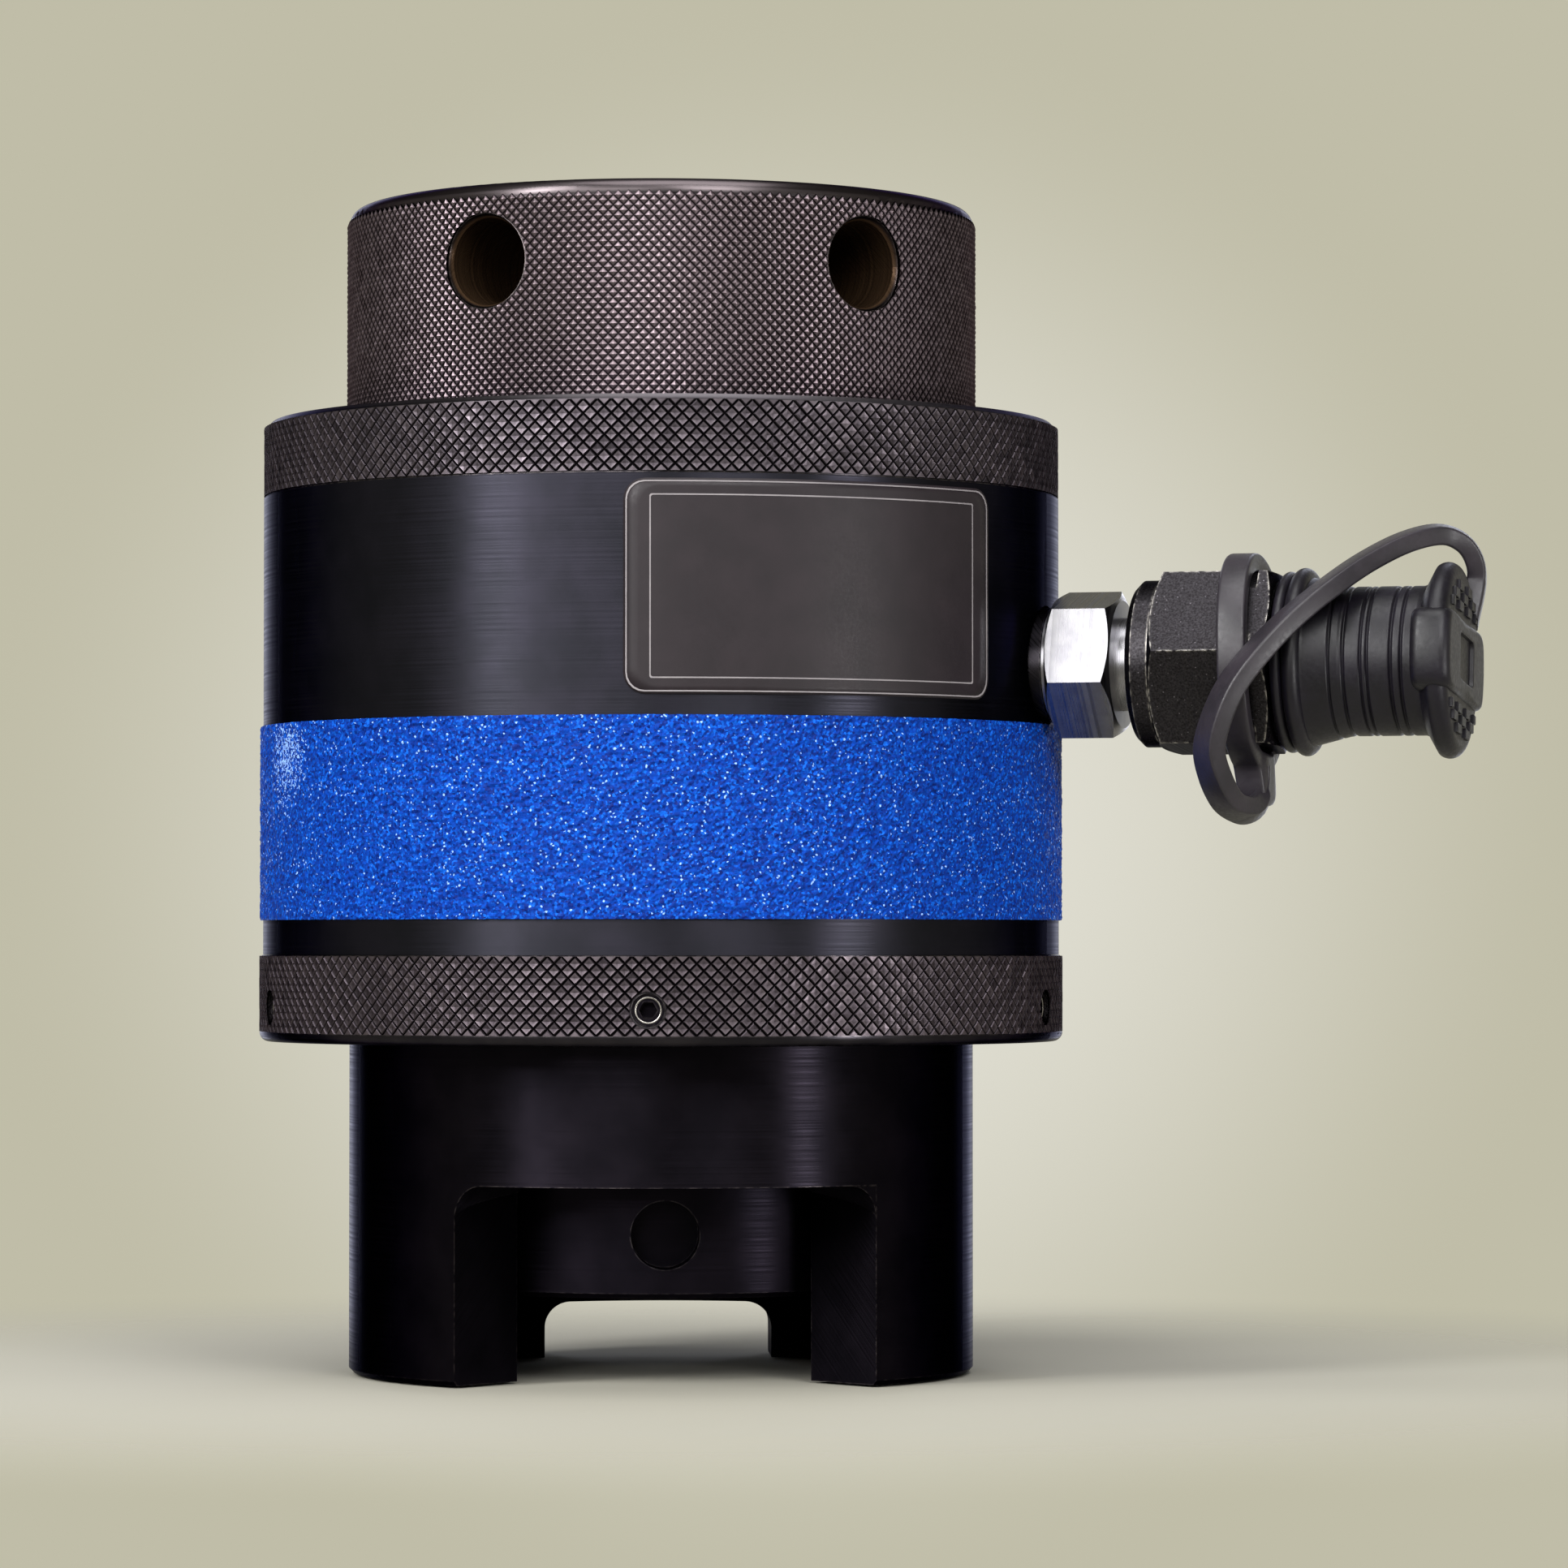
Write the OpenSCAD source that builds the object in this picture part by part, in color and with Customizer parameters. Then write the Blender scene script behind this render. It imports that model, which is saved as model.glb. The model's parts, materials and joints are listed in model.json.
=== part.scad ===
// Hydraulic bolt tensioner: a load cell on a reaction bridge, with a nut rotating socket,
// a threaded puller and a capped quick-connect nipple. Millimetres, +Z up along the stud.
// The origin is on the stud axis at the foot of the bridge, and the nipple points along +X.
// A direction in degrees is counted from -Y, positive towards +X.

/* [Fits] */
// Radial clearance of running fits
run_fit = 0.1; // [0.03:0.01:0.1]
// Clearance between pieces that only pass each other
loose_fit = 0.3; // [0.2:0.05:0.4]
// Clearance of pieces seated in the same assembly
seat_fit = 0.05; // [0.02:0.01:0.08]
// Height of the knurl teeth above the plain turned bands
knurl_depth = 0.35; // [0.2:0.05:0.5]

/* [Bridge] */
// Outside diameter of the bridge
bridge_od = 81.5; // [78:0.5:84]
// Overall height of the bridge, with the spigot inside the collar
bridge_h = 51.9; // [48:0.1:60]
// Bore round the nut socket
bridge_bore = 57.4; // [56:0.1:60]
// Bore above the inner shelf
bridge_head_bore = 60; // [56:0.5:64]
// Height of the underside of the inner shelf
shelf_z = 31; // [28:0.5:34]
// Thickness of the inner shelf
shelf_t = 5; // [3:0.5:7]
// Angle that the front window spans
window_span = 81.4; // [60:0.1:100]
// Height of the front window
window_h = 25.2; // [22:0.1:27]
// Corner radius of the front window
window_corner = 4.2; // [2:0.1:6]
// Direction of the front window
window_dir = 18.5; // [-20:0.5:40]
// Width of the rear notch
notch_w = 30.5; // [20:0.5:36]
// Height of the rear notch
notch_h = 7.4; // [5:0.1:10]
// Corner radius of the rear notch
notch_corner = 3.4; // [1:0.1:4.5]
// Chamfer of the foot's outer edge
foot_chamfer = 0.6; // [0.2:0.1:1]

/* [Nut socket] */
// Width across flats of the nut, M27
nut_af = 41; // [36:0.5:43]
// Clearance across the flats
nut_play = 0.5; // [0.2:0.1:0.8]
// Outside diameter of the socket
socket_od = 56.4; // [55:0.1:56.8]
// Height of the socket's rim above the foot
socket_rim_z = 10.8; // [8:0.1:14]
// Depth of the hexagon
nut_depth = 13.2; // [10:0.1:15]
// Outside diameter of the neck in the shelf
socket_neck_od = 48; // [46:0.5:50]
// Bore of the neck
socket_neck_bore = 41; // [40.5:0.1:42]
// Length of neck above the shelf
socket_neck_over = 3; // [2.5:0.1:5]
// Diameter of the tommy bar holes
tommy_d = 8.7; // [6:0.1:9.5]
// Height of the tommy bar holes above the rim
tommy_rise = 8; // [6.5:0.1:10]
// Depth of the tommy bar holes
tommy_depth = 6; // [3:0.1:6.5]
// Number of tommy bar holes
tommy_count = 6; // [3:1:6]
// Thickness of the circlip
circlip_t = 1.5; // [1:0.1:2]
// Radial width of the circlip
circlip_w = 3.4; // [2:0.1:4]
// Depth of the circlip's groove
circlip_groove = 1.2; // [0.8:0.1:1.5]

/* [Load cell] */
// How far the body's wall stands outside the bridge's
body_step = 11.25; // [10:0.05:13]
// Height of the body above its seat on the bridge
body_h = 61.7; // [58:0.1:70]
// Diameter of the piston's bore
bore_d = 80; // [76:0.5:82]
// Height of the knurled spring cap
cap_h = 9.8; // [8:0.1:14]
// Thickness of the spring cap's top
cap_top_t = 4; // [3.5:0.1:5]
// Outside diameter of the spring cap's thread
cap_thread_d = 86; // [85:0.5:90]
// Length of the spring cap's thread below its shoulder
cap_thread_len = 5.5; // [3:0.1:5.6]
// Height of the port above the body's seat
port_rise = 39.5; // [36:0.1:42]
// Height of the grip band's lower edge above the body's seat
band_rise = 6.7; // [4:0.1:10]
// Width of the grip band
band_w = 25.2; // [15:0.1:26]
// Thickness of the grip band
band_t = 0.55; // [0.3:0.05:0.9]

/* [Collar] */
// How far the collar's knurl stands proud of the body
collar_proud = 0.5; // [0.4:0.05:1.5]
// Wall of the collar outside its thread
collar_wall = 3.15; // [2:0.05:4]
// Height of the collar
collar_h = 11.2; // [10:0.1:14]
// How far the collar hangs below the body's seat
collar_drop = 9; // [8:0.1:9.5]
// Height of the collar's thick lower part
collar_floor = 7; // [6.8:0.1:7.4]
// Edge rounding of the collar
collar_round = 1.2; // [0.5:0.1:1.3]
// Plain land under the collar's knurl
collar_land = 1.3; // [1.3:0.1:2]
// Thread diameter of the set screws
screw_d = 4; // [3:0.5:4]
// Height of the set screws above the collar's foot
screw_rise = 4.5; // [3:0.1:4.6]
// Width across flats of the set screws' sockets
screw_af = 2; // [1.5:0.1:2]
// Number of set screws
screw_count = 5; // [3:1:8]
// Direction of the first set screw
screw_dir = 15.7; // [-30:0.1:30]
// Diameter of the set screws' dog points
dog_d = 2.6; // [2:0.1:2.8]
// Depth of the bridge's groove for the dog points
dog_groove = 2; // [1:0.1:3]

/* [Piston] */
// Stroke of the piston
stroke = 10; // [6:0.5:10]
// Outside diameter of the piston's lower skirt
skirt_d = 50.8; // [48:0.1:53]
// Height of the piston's head
head_h = 8.7; // [8:0.1:9]
// Diameter of the piston's hub
hub_d = 62; // [58:0.5:64]
// Gap between the spring cap and the puller at rest
puller_gap = 0.5; // [0.3:0.1:1]
// Wire diameter of the return spring
spring_wire = 2; // [1.5:0.1:2.4]
// Turns of the return spring
spring_turns = 3.5; // [2:0.5:4]

/* [Puller] */
// Diameter of the puller's head over its knurl
puller_od = 82.4; // [78:0.1:90]
// Height of the puller's head
puller_h = 27.45; // [24:0.05:34]
// Edge rounding of the puller's head
puller_round = 1.8; // [0.5:0.1:3]
// Diameter of the puller's shank
shank_d = 39.6; // [36:0.1:40]
// Length of the puller's shank
shank_len = 96.5; // [90:0.5:98]
// Minor diameter of the stud's thread, M27 x 3
thread_minor_d = 23.75; // [20:0.05:26]
// Length of the thread
thread_len = 47; // [27:0.5:60]
// Clear bore above the thread
clear_bore = 28; // [27:0.5:30]
// Diameter of the puller's tommy bar holes
bar_hole_d = 11; // [8:0.5:13]
// Depth of the puller's tommy bar holes
bar_hole_depth = 20; // [12:0.5:22]
// Depth of the tommy bar holes below the puller's top
bar_hole_drop = 9.9; // [8:0.1:14]
// Number of the puller's tommy bar holes
bar_hole_count = 5; // [4:1:6]
// Direction of the puller's first tommy bar hole
bar_hole_dir = -15.5; // [-36:0.5:36]

/* [Port and nipple] */
// Thread diameter of the port
port_thread_d = 12; // [10:0.5:12.5]
// Depth of the port's thread
port_depth = 8; // [6:0.1:9]
// Flat depth that the port's spot face takes off the body
spot_depth = 0.7; // [0.5:0.1:1]
// Outside diameter of the seal washer
washer_od = 14.8; // [14:0.1:15]
// Thickness of the seal washer
washer_t = 1.6; // [1.5:0.1:2]
// Length of the adapter's round shoulder on the washer
shoulder_len = 0.65; // [0.4:0.05:1.5]
// Diameter of the adapter's round shoulder
shoulder_d = 14.2; // [13:0.1:15]
// Width across flats of the adapter
adapter_af = 17; // [15:0.5:19]
// Length of the adapter's hexagon
adapter_len = 8.6; // [7:0.1:12]
// Neck between adapter and nipple
neck_len = 2.4; // [0.8:0.1:3]
// Neck diameter
neck_d = 12; // [11:0.5:14]
// Diameter of the nipple's round collar
nipple_collar_d = 21.4; // [19:0.1:22]
// Length of the nipple's round collar
nipple_collar_len = 3; // [2:0.1:5]
// Width across flats of the nipple
nipple_af = 22; // [21:0.5:24]
// Length of the nipple's hexagon
nipple_hex_len = 15.6; // [14:0.1:18]
// Diameter of the nipple's probe
probe_d = 14.9; // [13.5:0.1:15.2]
// Length of the nipple's probe
probe_len = 16.5; // [15:0.1:17]
// Bore of the valve chamber
valve_bore = 8.4; // [8:0.1:9]
// Valve seat opening
valve_port_d = 4.8; // [4:0.1:5]

/* [Dust cap] */
// Outside diameter of the tether ring
tether_ring_od = 28; // [27:0.5:30]
// Width of the tether ring
tether_ring_w = 3.6; // [3:0.1:4.5]
// Distance from the nipple's hexagon end to the tether ring
tether_ring_back = 2.2; // [1.5:0.1:3]
// Width of the strap
strap_w = 4.6; // [3:0.1:6]
// Thickness of the strap
strap_t = 2.4; // [1.5:0.1:2.6]
// Diameter of the bead at the sleeve's mouth
bead_d = 23.4; // [22:0.1:25]
// Diameter of the ribbed sleeve
sleeve_d = 19; // [18:0.1:21]
// Length from the sleeve's mouth to the end disc
sleeve_len = 18; // [17.8:0.1:22]
// Diameter of the end disc
disc_d = 24.6; // [23:0.1:28]
// Thickness of the end disc
disc_t = 5.2; // [4.5:0.1:8]
// Width of the grip bar across the end disc
bar_w = 10.4; // [8:0.1:12]
// How far the grip bar stands out of the disc's rim
bar_out = 1.2; // [0.5:0.1:2]
// How far the grip bar starts behind the disc's inner face
bar_back = 0.5; // [0.5:0.1:2]

/* [Hidden] */
$fn = 96;
over = 1;

// Levels from the foot up
swivel_gap = run_fit;
seat_z = bridge_h + swivel_gap;
collar_z = seat_z - collar_drop;
collar_top_z = collar_z + collar_h;
skirt_foot_z = collar_z + collar_floor + seat_fit;
body_top_z = seat_z + body_h;
cap_top_z = body_top_z + cap_h;
cap_under_z = cap_top_z - cap_top_t;
cap_spigot_z = body_top_z - cap_thread_len;
port_z = seat_z + port_rise;
chamber_drop = 2.5;
chamber_z = port_z - chamber_drop;
head_z = chamber_z + loose_fit;
head_top_z = head_z + head_h;
hub_top_z = cap_top_z + puller_gap;
puller_z = hub_top_z + seat_fit;
puller_top_z = puller_z + puller_h;
shank_z = puller_z - shank_len;
screw_z = collar_z + screw_rise;
band_z = seat_z + band_rise;
shelf_top_z = shelf_z + shelf_t;
neck_top_z = shelf_top_z + socket_neck_over;
circlip_z = shelf_top_z + loose_fit;

// Radii and diameters that follow the bridge's
body_r = bridge_od / 2 + body_step;
collar_od = 2 * (body_r + collar_proud);
collar_root_r = collar_od / 2 - knurl_depth;
skirt_thread_d = 2 * (collar_root_r - collar_wall);
bore_r = bore_d / 2;
spigot_clear_r = bridge_od / 2 + loose_fit;
hub_r = hub_d / 2;
skirt_r = skirt_d / 2;
shank_r = shank_d / 2;
spring_r = (hub_r + bore_r) / 2;
cap_wall_r = spring_r + spring_wire / 2 + loose_fit * 3;
edge_break = 0.6;

// Piston head: relief over the port, then the seal's groove between two lands
relief_h = 2.9;
relief_depth = 2.9;
land_h = 0.8;
seal_h = 2.2;
backup_h = 1.1;
seal_depth = 4.5;
seal_groove_h = seal_h + backup_h + 2 * seat_fit;
seal_z = head_z + relief_h + land_h;

// Skirt seal and guide in the cylinder's lower bore
rod_seal_drop = 9;
rod_seal_z = chamber_z - rod_seal_drop;
rod_seal_depth = 4;
guide_rise = 8;
guide_z = seat_z + guide_rise;
guide_h = 6;
guide_depth = 2;
skirt_clear = 1.5;

// Spring cap wiper
wiper_h = 2.2;
wiper_depth = 2;
wiper_z = cap_under_z + (cap_top_t - wiper_h) / 2;
hub_clear = 0.4;

// Puller ring
ring_h = 2.6;
ring_depth = 1.9;
ring_z = hub_top_z - 12;

// Stations along the nipple's axis, from the stud axis
spot_x = body_r - spot_depth;
port_floor_x = spot_x - port_depth;
shoulder_x = spot_x + washer_t + seat_fit;
adapter_x = shoulder_x + shoulder_len;
adapter_end_x = adapter_x + adapter_len;
nipple_x = adapter_end_x + neck_len;
nipple_hex_x = nipple_x + nipple_collar_len;
nipple_hex_end_x = nipple_hex_x + nipple_hex_len;
probe_end_x = nipple_hex_end_x + probe_len;
tether_x = nipple_hex_end_x - tether_ring_back - tether_ring_w;
sleeve_x = nipple_hex_end_x + loose_fit;
disc_x = sleeve_x + sleeve_len;
disc_end_x = disc_x + disc_t;
thread_d = 9.8;
thread_reach = 8.5;
seat_disc_t = 1.3;
passage_d = 2.5;
seat_step_x = nipple_x + thread_reach + seat_disc_t + 2 * seat_fit;
valve_step_x = probe_end_x - 3;
poppet_head_t = 2.1;
poppet_seal_t = 0.85;
poppet_head_x = valve_step_x - poppet_seal_t - poppet_head_t - 2 * seat_fit;
poppet_stem_len = 11;
poppet_wire = 0.9;
lock_groove_x = nipple_hex_end_x + 6.5;
lock_groove_w = 3;
lock_groove_depth = 0.95;
adapter_turn = 45.5;
nipple_turn = 25;
cap_turn = 5;
hex_chamfer = 1.3;
ring_r = tether_ring_od / 2;
disc_r = disc_d / 2;
tether_bore_r = nipple_af / 2 + 0.6;
lug_w = 5;
lug_drop = 1.8;

// Route of the strap from the cap to the ring's lug: share of the way from ring to disc,
// then sideways and up as shares of the ring's radius. The first point follows the disc.
strap_ring_x = tether_x + tether_ring_w / 2;
strap_span = disc_x + disc_t / 2 - strap_ring_x;
strap_shares = [
    [1.07, 0.84, 0.75], [1.06, 0.77, 0.97], [1, 0.66, 1.12], [0.9, 0.5, 1.17], [0.76, 0.18, 1.08],
    [0.6, -0.21, 0.88], [0.45, -0.64, 0.62], [0.3, -0.93, 0.35], [0.16, -1.11, 0.06], [0.04, -1.2, -0.23],
    [-0.04, -1.21, -0.52], [-0.09, -1.14, -0.81], [-0.08, -0.96, -1.07], [-0.05, -0.69, -1.26],
    [0, -0.39, -1.35], [0.04, -0.12, -1.36], [0.05, -0.03, -1.26]
];
strap_route = concat(
    [[disc_x + disc_t * 0.7, disc_r * 0.81, disc_r * 0.42]],
    [for (p = strap_shares) [strap_ring_x + p[0] * strap_span, p[1] * ring_r, p[2] * ring_r]],
    [[strap_ring_x + 0.05 * strap_span, -0.03 * ring_r, -ring_r - lug_drop - loose_fit]]
);
strap_rings_per_leg = 2;

// A solid of revolution about Z from its half profile of radius and height
module turned(profile) {
    rotate_extrude() polygon(profile);
}

// A plain ring
module ring(r_in, r_out, z, h) {
    turned([[r_in, z], [r_out, z], [r_out, z + h], [r_in, z + h]]);
}

// Turns a shape drawn along +Z so that it points outwards in a direction round the stud
module facing(dir) {
    rotate([0, 0, dir]) rotate([90, 0, 0]) children();
}

// Lays a shape drawn along +Z on the nipple's axis
module on_port() {
    translate([0, 0, port_z]) rotate([0, 90, 0]) children();
}

// A block with its outer upper edge rounded, as a half profile
module round_edge_profile(r_in, r_out, z, h, edge) {
    translate([r_in, z]) square([r_out - r_in - edge, h]);
    translate([r_in, z]) square([r_out - r_in, h - edge]);
    translate([r_out - edge, z + h - edge]) intersection() {
        circle(r = edge);
        square(edge);
    }
}

// A hexagon bar with its corners turned to a cone at both ends
module hex_bar(af, h, chamfer) {
    corner_r = af / sqrt(3);
    flat_r = af / 2;
    rise = (corner_r + chamfer - flat_r) * tan(30);
    intersection() {
        cylinder(r = corner_r, h = h, $fn = 6);
        turned([[0, 0], [flat_r - chamfer / 4, 0], [corner_r + chamfer, rise],
                [corner_r + chamfer, h - rise], [flat_r - chamfer / 4, h], [0, h]]);
    }
}

// A sector of the bridge's wall between two directions
module sector(from_dir, to_dir, z, h, r) {
    rotate([0, 0, from_dir - 90]) rotate_extrude(angle = to_dir - from_dir)
        translate([0, z]) square([r, h]);
}

// Points of a coil about Z, from height z to z + h
function coil_point(r, z, h, turns, t) = [r * cos(360 * turns * t), r * sin(360 * turns * t), z + h * t];

// A round wire wound into a coil with a free height
module coil(r, wire, z, h, turns, sides = 8, steps = 20) {
    rings = ceil(turns * steps);
    low = z + wire / 2;
    rise = h - wire;
    points = [for (i = [0:rings], k = [0:sides - 1])
        let (t = i / rings, p = coil_point(r, low, rise, turns, t), a = 360 * turns * t, b = 360 * k / sides)
        p + wire / 2 * [cos(b) * cos(a), cos(b) * sin(a), sin(b)]];
    polyhedron(points, tube_faces(rings, sides), convexity = 8);
}

// Faces of a closed tube of rings with a number of sides
function tube_faces(rings, sides) = concat(
    [[for (k = [0:sides - 1]) k]],
    [for (i = [0:rings - 1], k = [0:sides - 1])
        let (a = i * sides + k, b = i * sides + (k + 1) % sides)
        [a, a + sides, b + sides, b]],
    [[for (k = [sides - 1:-1:0]) rings * sides + k]]
);

// A smooth curve through four neighbouring points
function blend(a, b, c, d, t) = 0.5 * (2 * b + (c - a) * t + (2 * a - 5 * b + 4 * c - d) * t * t
    + (3 * b - a - 3 * c + d) * t * t * t);
function unit(v) = v / norm(v);
function route_curve(route, n) = let (last = len(route) - 1) concat(
    [for (i = [0:last - 1], s = [0:n - 1])
        blend(route[max(i - 1, 0)], route[i], route[i + 1], route[min(i + 2, last)], s / n)],
    [route[last]]
);
function tangents(c) = let (last = len(c) - 1)
    [for (i = [0:last]) unit(c[min(i + 1, last)] - c[max(i - 1, 0)])];
// Carries a normal along the curve without twist
function carried(n, ts, i = 0) = i == len(ts) ? []
    : let (m = unit(n - (n * ts[i]) * ts[i])) concat([m], carried(m, ts, i + 1));

module bridge() {
    outer_r = bridge_od / 2;
    bore = bridge_bore / 2;
    head = bridge_head_bore / 2;
    shelf_r = socket_neck_od / 2 + loose_fit;
    groove_r = outer_r - dog_groove;
    groove_h = dog_d + loose_fit;
    color("#26262a") difference() {
        turned([
            [bore, 0], [outer_r - foot_chamfer, 0], [outer_r, foot_chamfer],
            [outer_r, screw_z - groove_h / 2], [groove_r, screw_z - groove_h / 2],
            [groove_r, screw_z + groove_h / 2], [outer_r, screw_z + groove_h / 2],
            [outer_r, bridge_h - edge_break], [outer_r - edge_break, bridge_h],
            [head, bridge_h], [head, shelf_top_z], [shelf_r, shelf_top_z], [shelf_r, shelf_z], [bore, shelf_z]
        ]);
        rotate([0, 0, window_dir]) window_cut(outer_r);
        rotate([0, 0, window_dir]) notch_cut(outer_r);
    }
}

// Front window: a sector with its upper corners filled back to a radius
module window_cut(outer_r) {
    half = window_span / 2;
    corner_angle = asin(window_corner / outer_r);
    difference() {
        sector(-half, half, -over, window_h + over, outer_r + over);
        for (side = [-1, 1])
            difference() {
                sector(min(side * half, side * (half - corner_angle)), max(side * half, side * (half - corner_angle)),
                    window_h - window_corner, window_corner + over, outer_r + 2 * over);
                facing(side * (half - corner_angle)) translate([0, window_h - window_corner, 0])
                    cylinder(r = window_corner, h = outer_r + 3 * over);
            }
    }
}

// Rear notch: a straight milled slot with rounded upper corners
module notch_cut(outer_r) {
    facing(180) linear_extrude(outer_r + over) {
        translate([-notch_w / 2, -over]) square([notch_w, notch_h - notch_corner + over]);
        translate([-notch_w / 2 + notch_corner, -over]) square([notch_w - 2 * notch_corner, notch_h + over]);
        for (side = [-1, 1])
            translate([side * (notch_w / 2 - notch_corner), notch_h - notch_corner]) circle(r = notch_corner);
    }
}

module nut_socket() {
    outer_r = socket_od / 2;
    neck_r = socket_neck_od / 2;
    groove_r = neck_r - circlip_groove;
    shoulder_z = shelf_z - loose_fit;
    color("#3b3634") difference() {
        turned([
            [0, socket_rim_z], [outer_r - edge_break, socket_rim_z], [outer_r, socket_rim_z + edge_break],
            [outer_r, shoulder_z], [neck_r, shoulder_z], [neck_r, circlip_z - seat_fit],
            [groove_r, circlip_z - seat_fit], [groove_r, circlip_z + circlip_t + seat_fit],
            [neck_r, circlip_z + circlip_t + seat_fit], [neck_r, neck_top_z], [0, neck_top_z]
        ]);
        translate([0, 0, socket_rim_z - over]) rotate([0, 0, window_dir])
            cylinder(r = (nut_af + nut_play) / sqrt(3), h = nut_depth + over, $fn = 6);
        cylinder(d = socket_neck_bore, h = neck_top_z + over);
        for (i = [0:tommy_count - 1])
            facing(window_dir + i * 360 / tommy_count)
                translate([0, socket_rim_z + tommy_rise, outer_r - tommy_depth])
                    cylinder(d = tommy_d, h = tommy_depth + over);
    }
}

module socket_circlip() {
    inner_r = socket_neck_od / 2 - circlip_groove + seat_fit;
    gap_angle = 20;
    color("#5a5a5e") difference() {
        ring(inner_r, inner_r + circlip_w, circlip_z, circlip_t);
        rotate([0, 0, 180 + window_dir]) sector(-gap_angle / 2, gap_angle / 2, circlip_z - over,
            circlip_t + 2 * over, inner_r + circlip_w + over);
    }
}

module cylinder_profile() {
    lower_r = skirt_r + run_fit;
    seal_r = lower_r + rod_seal_depth;
    groove_r = lower_r + guide_depth;
    seal_top_z = rod_seal_z + seal_groove_h;
    thread_r = cap_thread_d / 2;
    polygon([
        [body_r, collar_top_z + seat_fit], [body_r, body_top_z], [thread_r, body_top_z],
        [thread_r, cap_spigot_z - seat_fit], [bore_r, cap_spigot_z - seat_fit], [bore_r, chamber_z],
        [lower_r, chamber_z], [lower_r, seal_top_z], [seal_r, seal_top_z], [seal_r, rod_seal_z],
        [lower_r, rod_seal_z], [lower_r, guide_z + guide_h + seat_fit],
        [groove_r, guide_z + guide_h + seat_fit], [groove_r, guide_z - seat_fit],
        [lower_r, guide_z - seat_fit], [lower_r, seat_z], [spigot_clear_r, seat_z],
        [spigot_clear_r, skirt_foot_z], [skirt_thread_d / 2 - seat_fit, skirt_foot_z],
        [skirt_thread_d / 2 - seat_fit, collar_top_z + seat_fit]
    ]);
}

module cylinder_body() {
    difference() {
        rotate_extrude() cylinder_profile();
        on_port() {
            translate([0, 0, spot_x]) cylinder(d = washer_od + 2 * loose_fit, h = body_r);
            translate([0, 0, port_floor_x]) cylinder(d = port_thread_d + 2 * seat_fit, h = port_depth + over);
            translate([0, 0, bore_r - over]) cylinder(d = passage_d, h = port_floor_x - bore_r + 2 * over);
        }
    }
}

module spring_cap() {
    root_r = body_r - knurl_depth;
    hole_r = hub_r + hub_clear;
    groove_r = hole_r + wiper_depth;
    shoulder_z = body_top_z + seat_fit;
    color("#2a282c") turned([
        [hole_r, cap_under_z], [cap_wall_r, cap_under_z], [cap_wall_r, cap_spigot_z],
        [cap_thread_d / 2 - seat_fit, cap_spigot_z], [cap_thread_d / 2 - seat_fit, shoulder_z],
        [root_r, shoulder_z], [root_r, cap_top_z - edge_break], [root_r - edge_break, cap_top_z],
        [hole_r, cap_top_z], [hole_r, wiper_z + wiper_h], [groove_r, wiper_z + wiper_h],
        [groove_r, wiper_z], [hole_r, wiper_z]
    ]);
}

module cap_wiper() {
    color("#1c1c1c") ring(hub_r + run_fit, hub_r + hub_clear + wiper_depth - seat_fit,
        wiper_z + seat_fit, wiper_h - 2 * seat_fit);
}

module retaining_collar() {
    step_z = collar_z + collar_floor;
    color("#2a282c") difference() {
        union() {
            turned([[spigot_clear_r, collar_z + collar_land], [collar_root_r, collar_z + collar_land],
                [collar_root_r, collar_top_z], [skirt_thread_d / 2, collar_top_z], [skirt_thread_d / 2, step_z],
                [spigot_clear_r, step_z]]);
            translate([0, 0, 2 * collar_z + collar_land]) mirror([0, 0, 1]) rotate_extrude()
                round_edge_profile(spigot_clear_r, collar_od / 2 - seat_fit, collar_z, collar_land, collar_round);
        }
        for (i = [0:screw_count - 1])
            facing(screw_dir + i * 360 / screw_count) translate([0, screw_z, 0])
                cylinder(d = screw_d + 2 * seat_fit, h = collar_od);
    }
}

module collar_set_screws() {
    head_r = collar_root_r - edge_break;
    tip_r = bridge_od / 2 - dog_groove + loose_fit;
    thread_r = spigot_clear_r + loose_fit;
    socket_depth = 2.5;
    color("#3c3a3a") for (i = [0:screw_count - 1])
        facing(screw_dir + i * 360 / screw_count) translate([0, screw_z, 0]) difference() {
            union() {
                translate([0, 0, thread_r]) cylinder(d = screw_d, h = head_r - thread_r);
                translate([0, 0, tip_r]) cylinder(d = dog_d, h = head_r - tip_r);
            }
            translate([0, 0, head_r - socket_depth])
                cylinder(r = screw_af / sqrt(3), h = socket_depth + over, $fn = 6);
        }
}

module grip_band() {
    color("#0b5fd0") ring(body_r + seat_fit / 2, body_r + band_t, band_z, band_w);
}

module rod_seal() {
    color("#1f5c3a") ring(skirt_r + seat_fit, skirt_r + run_fit + rod_seal_depth - seat_fit,
        rod_seal_z + backup_h + seat_fit, seal_h);
}

module rod_backup_ring() {
    color("#d8d2c0") ring(skirt_r + seat_fit, skirt_r + run_fit + rod_seal_depth - seat_fit,
        rod_seal_z + seat_fit / 2, backup_h);
}

module skirt_guide_ring() {
    color("#7a5c34") ring(skirt_r + seat_fit, skirt_r + run_fit + guide_depth - seat_fit, guide_z, guide_h);
}

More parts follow.
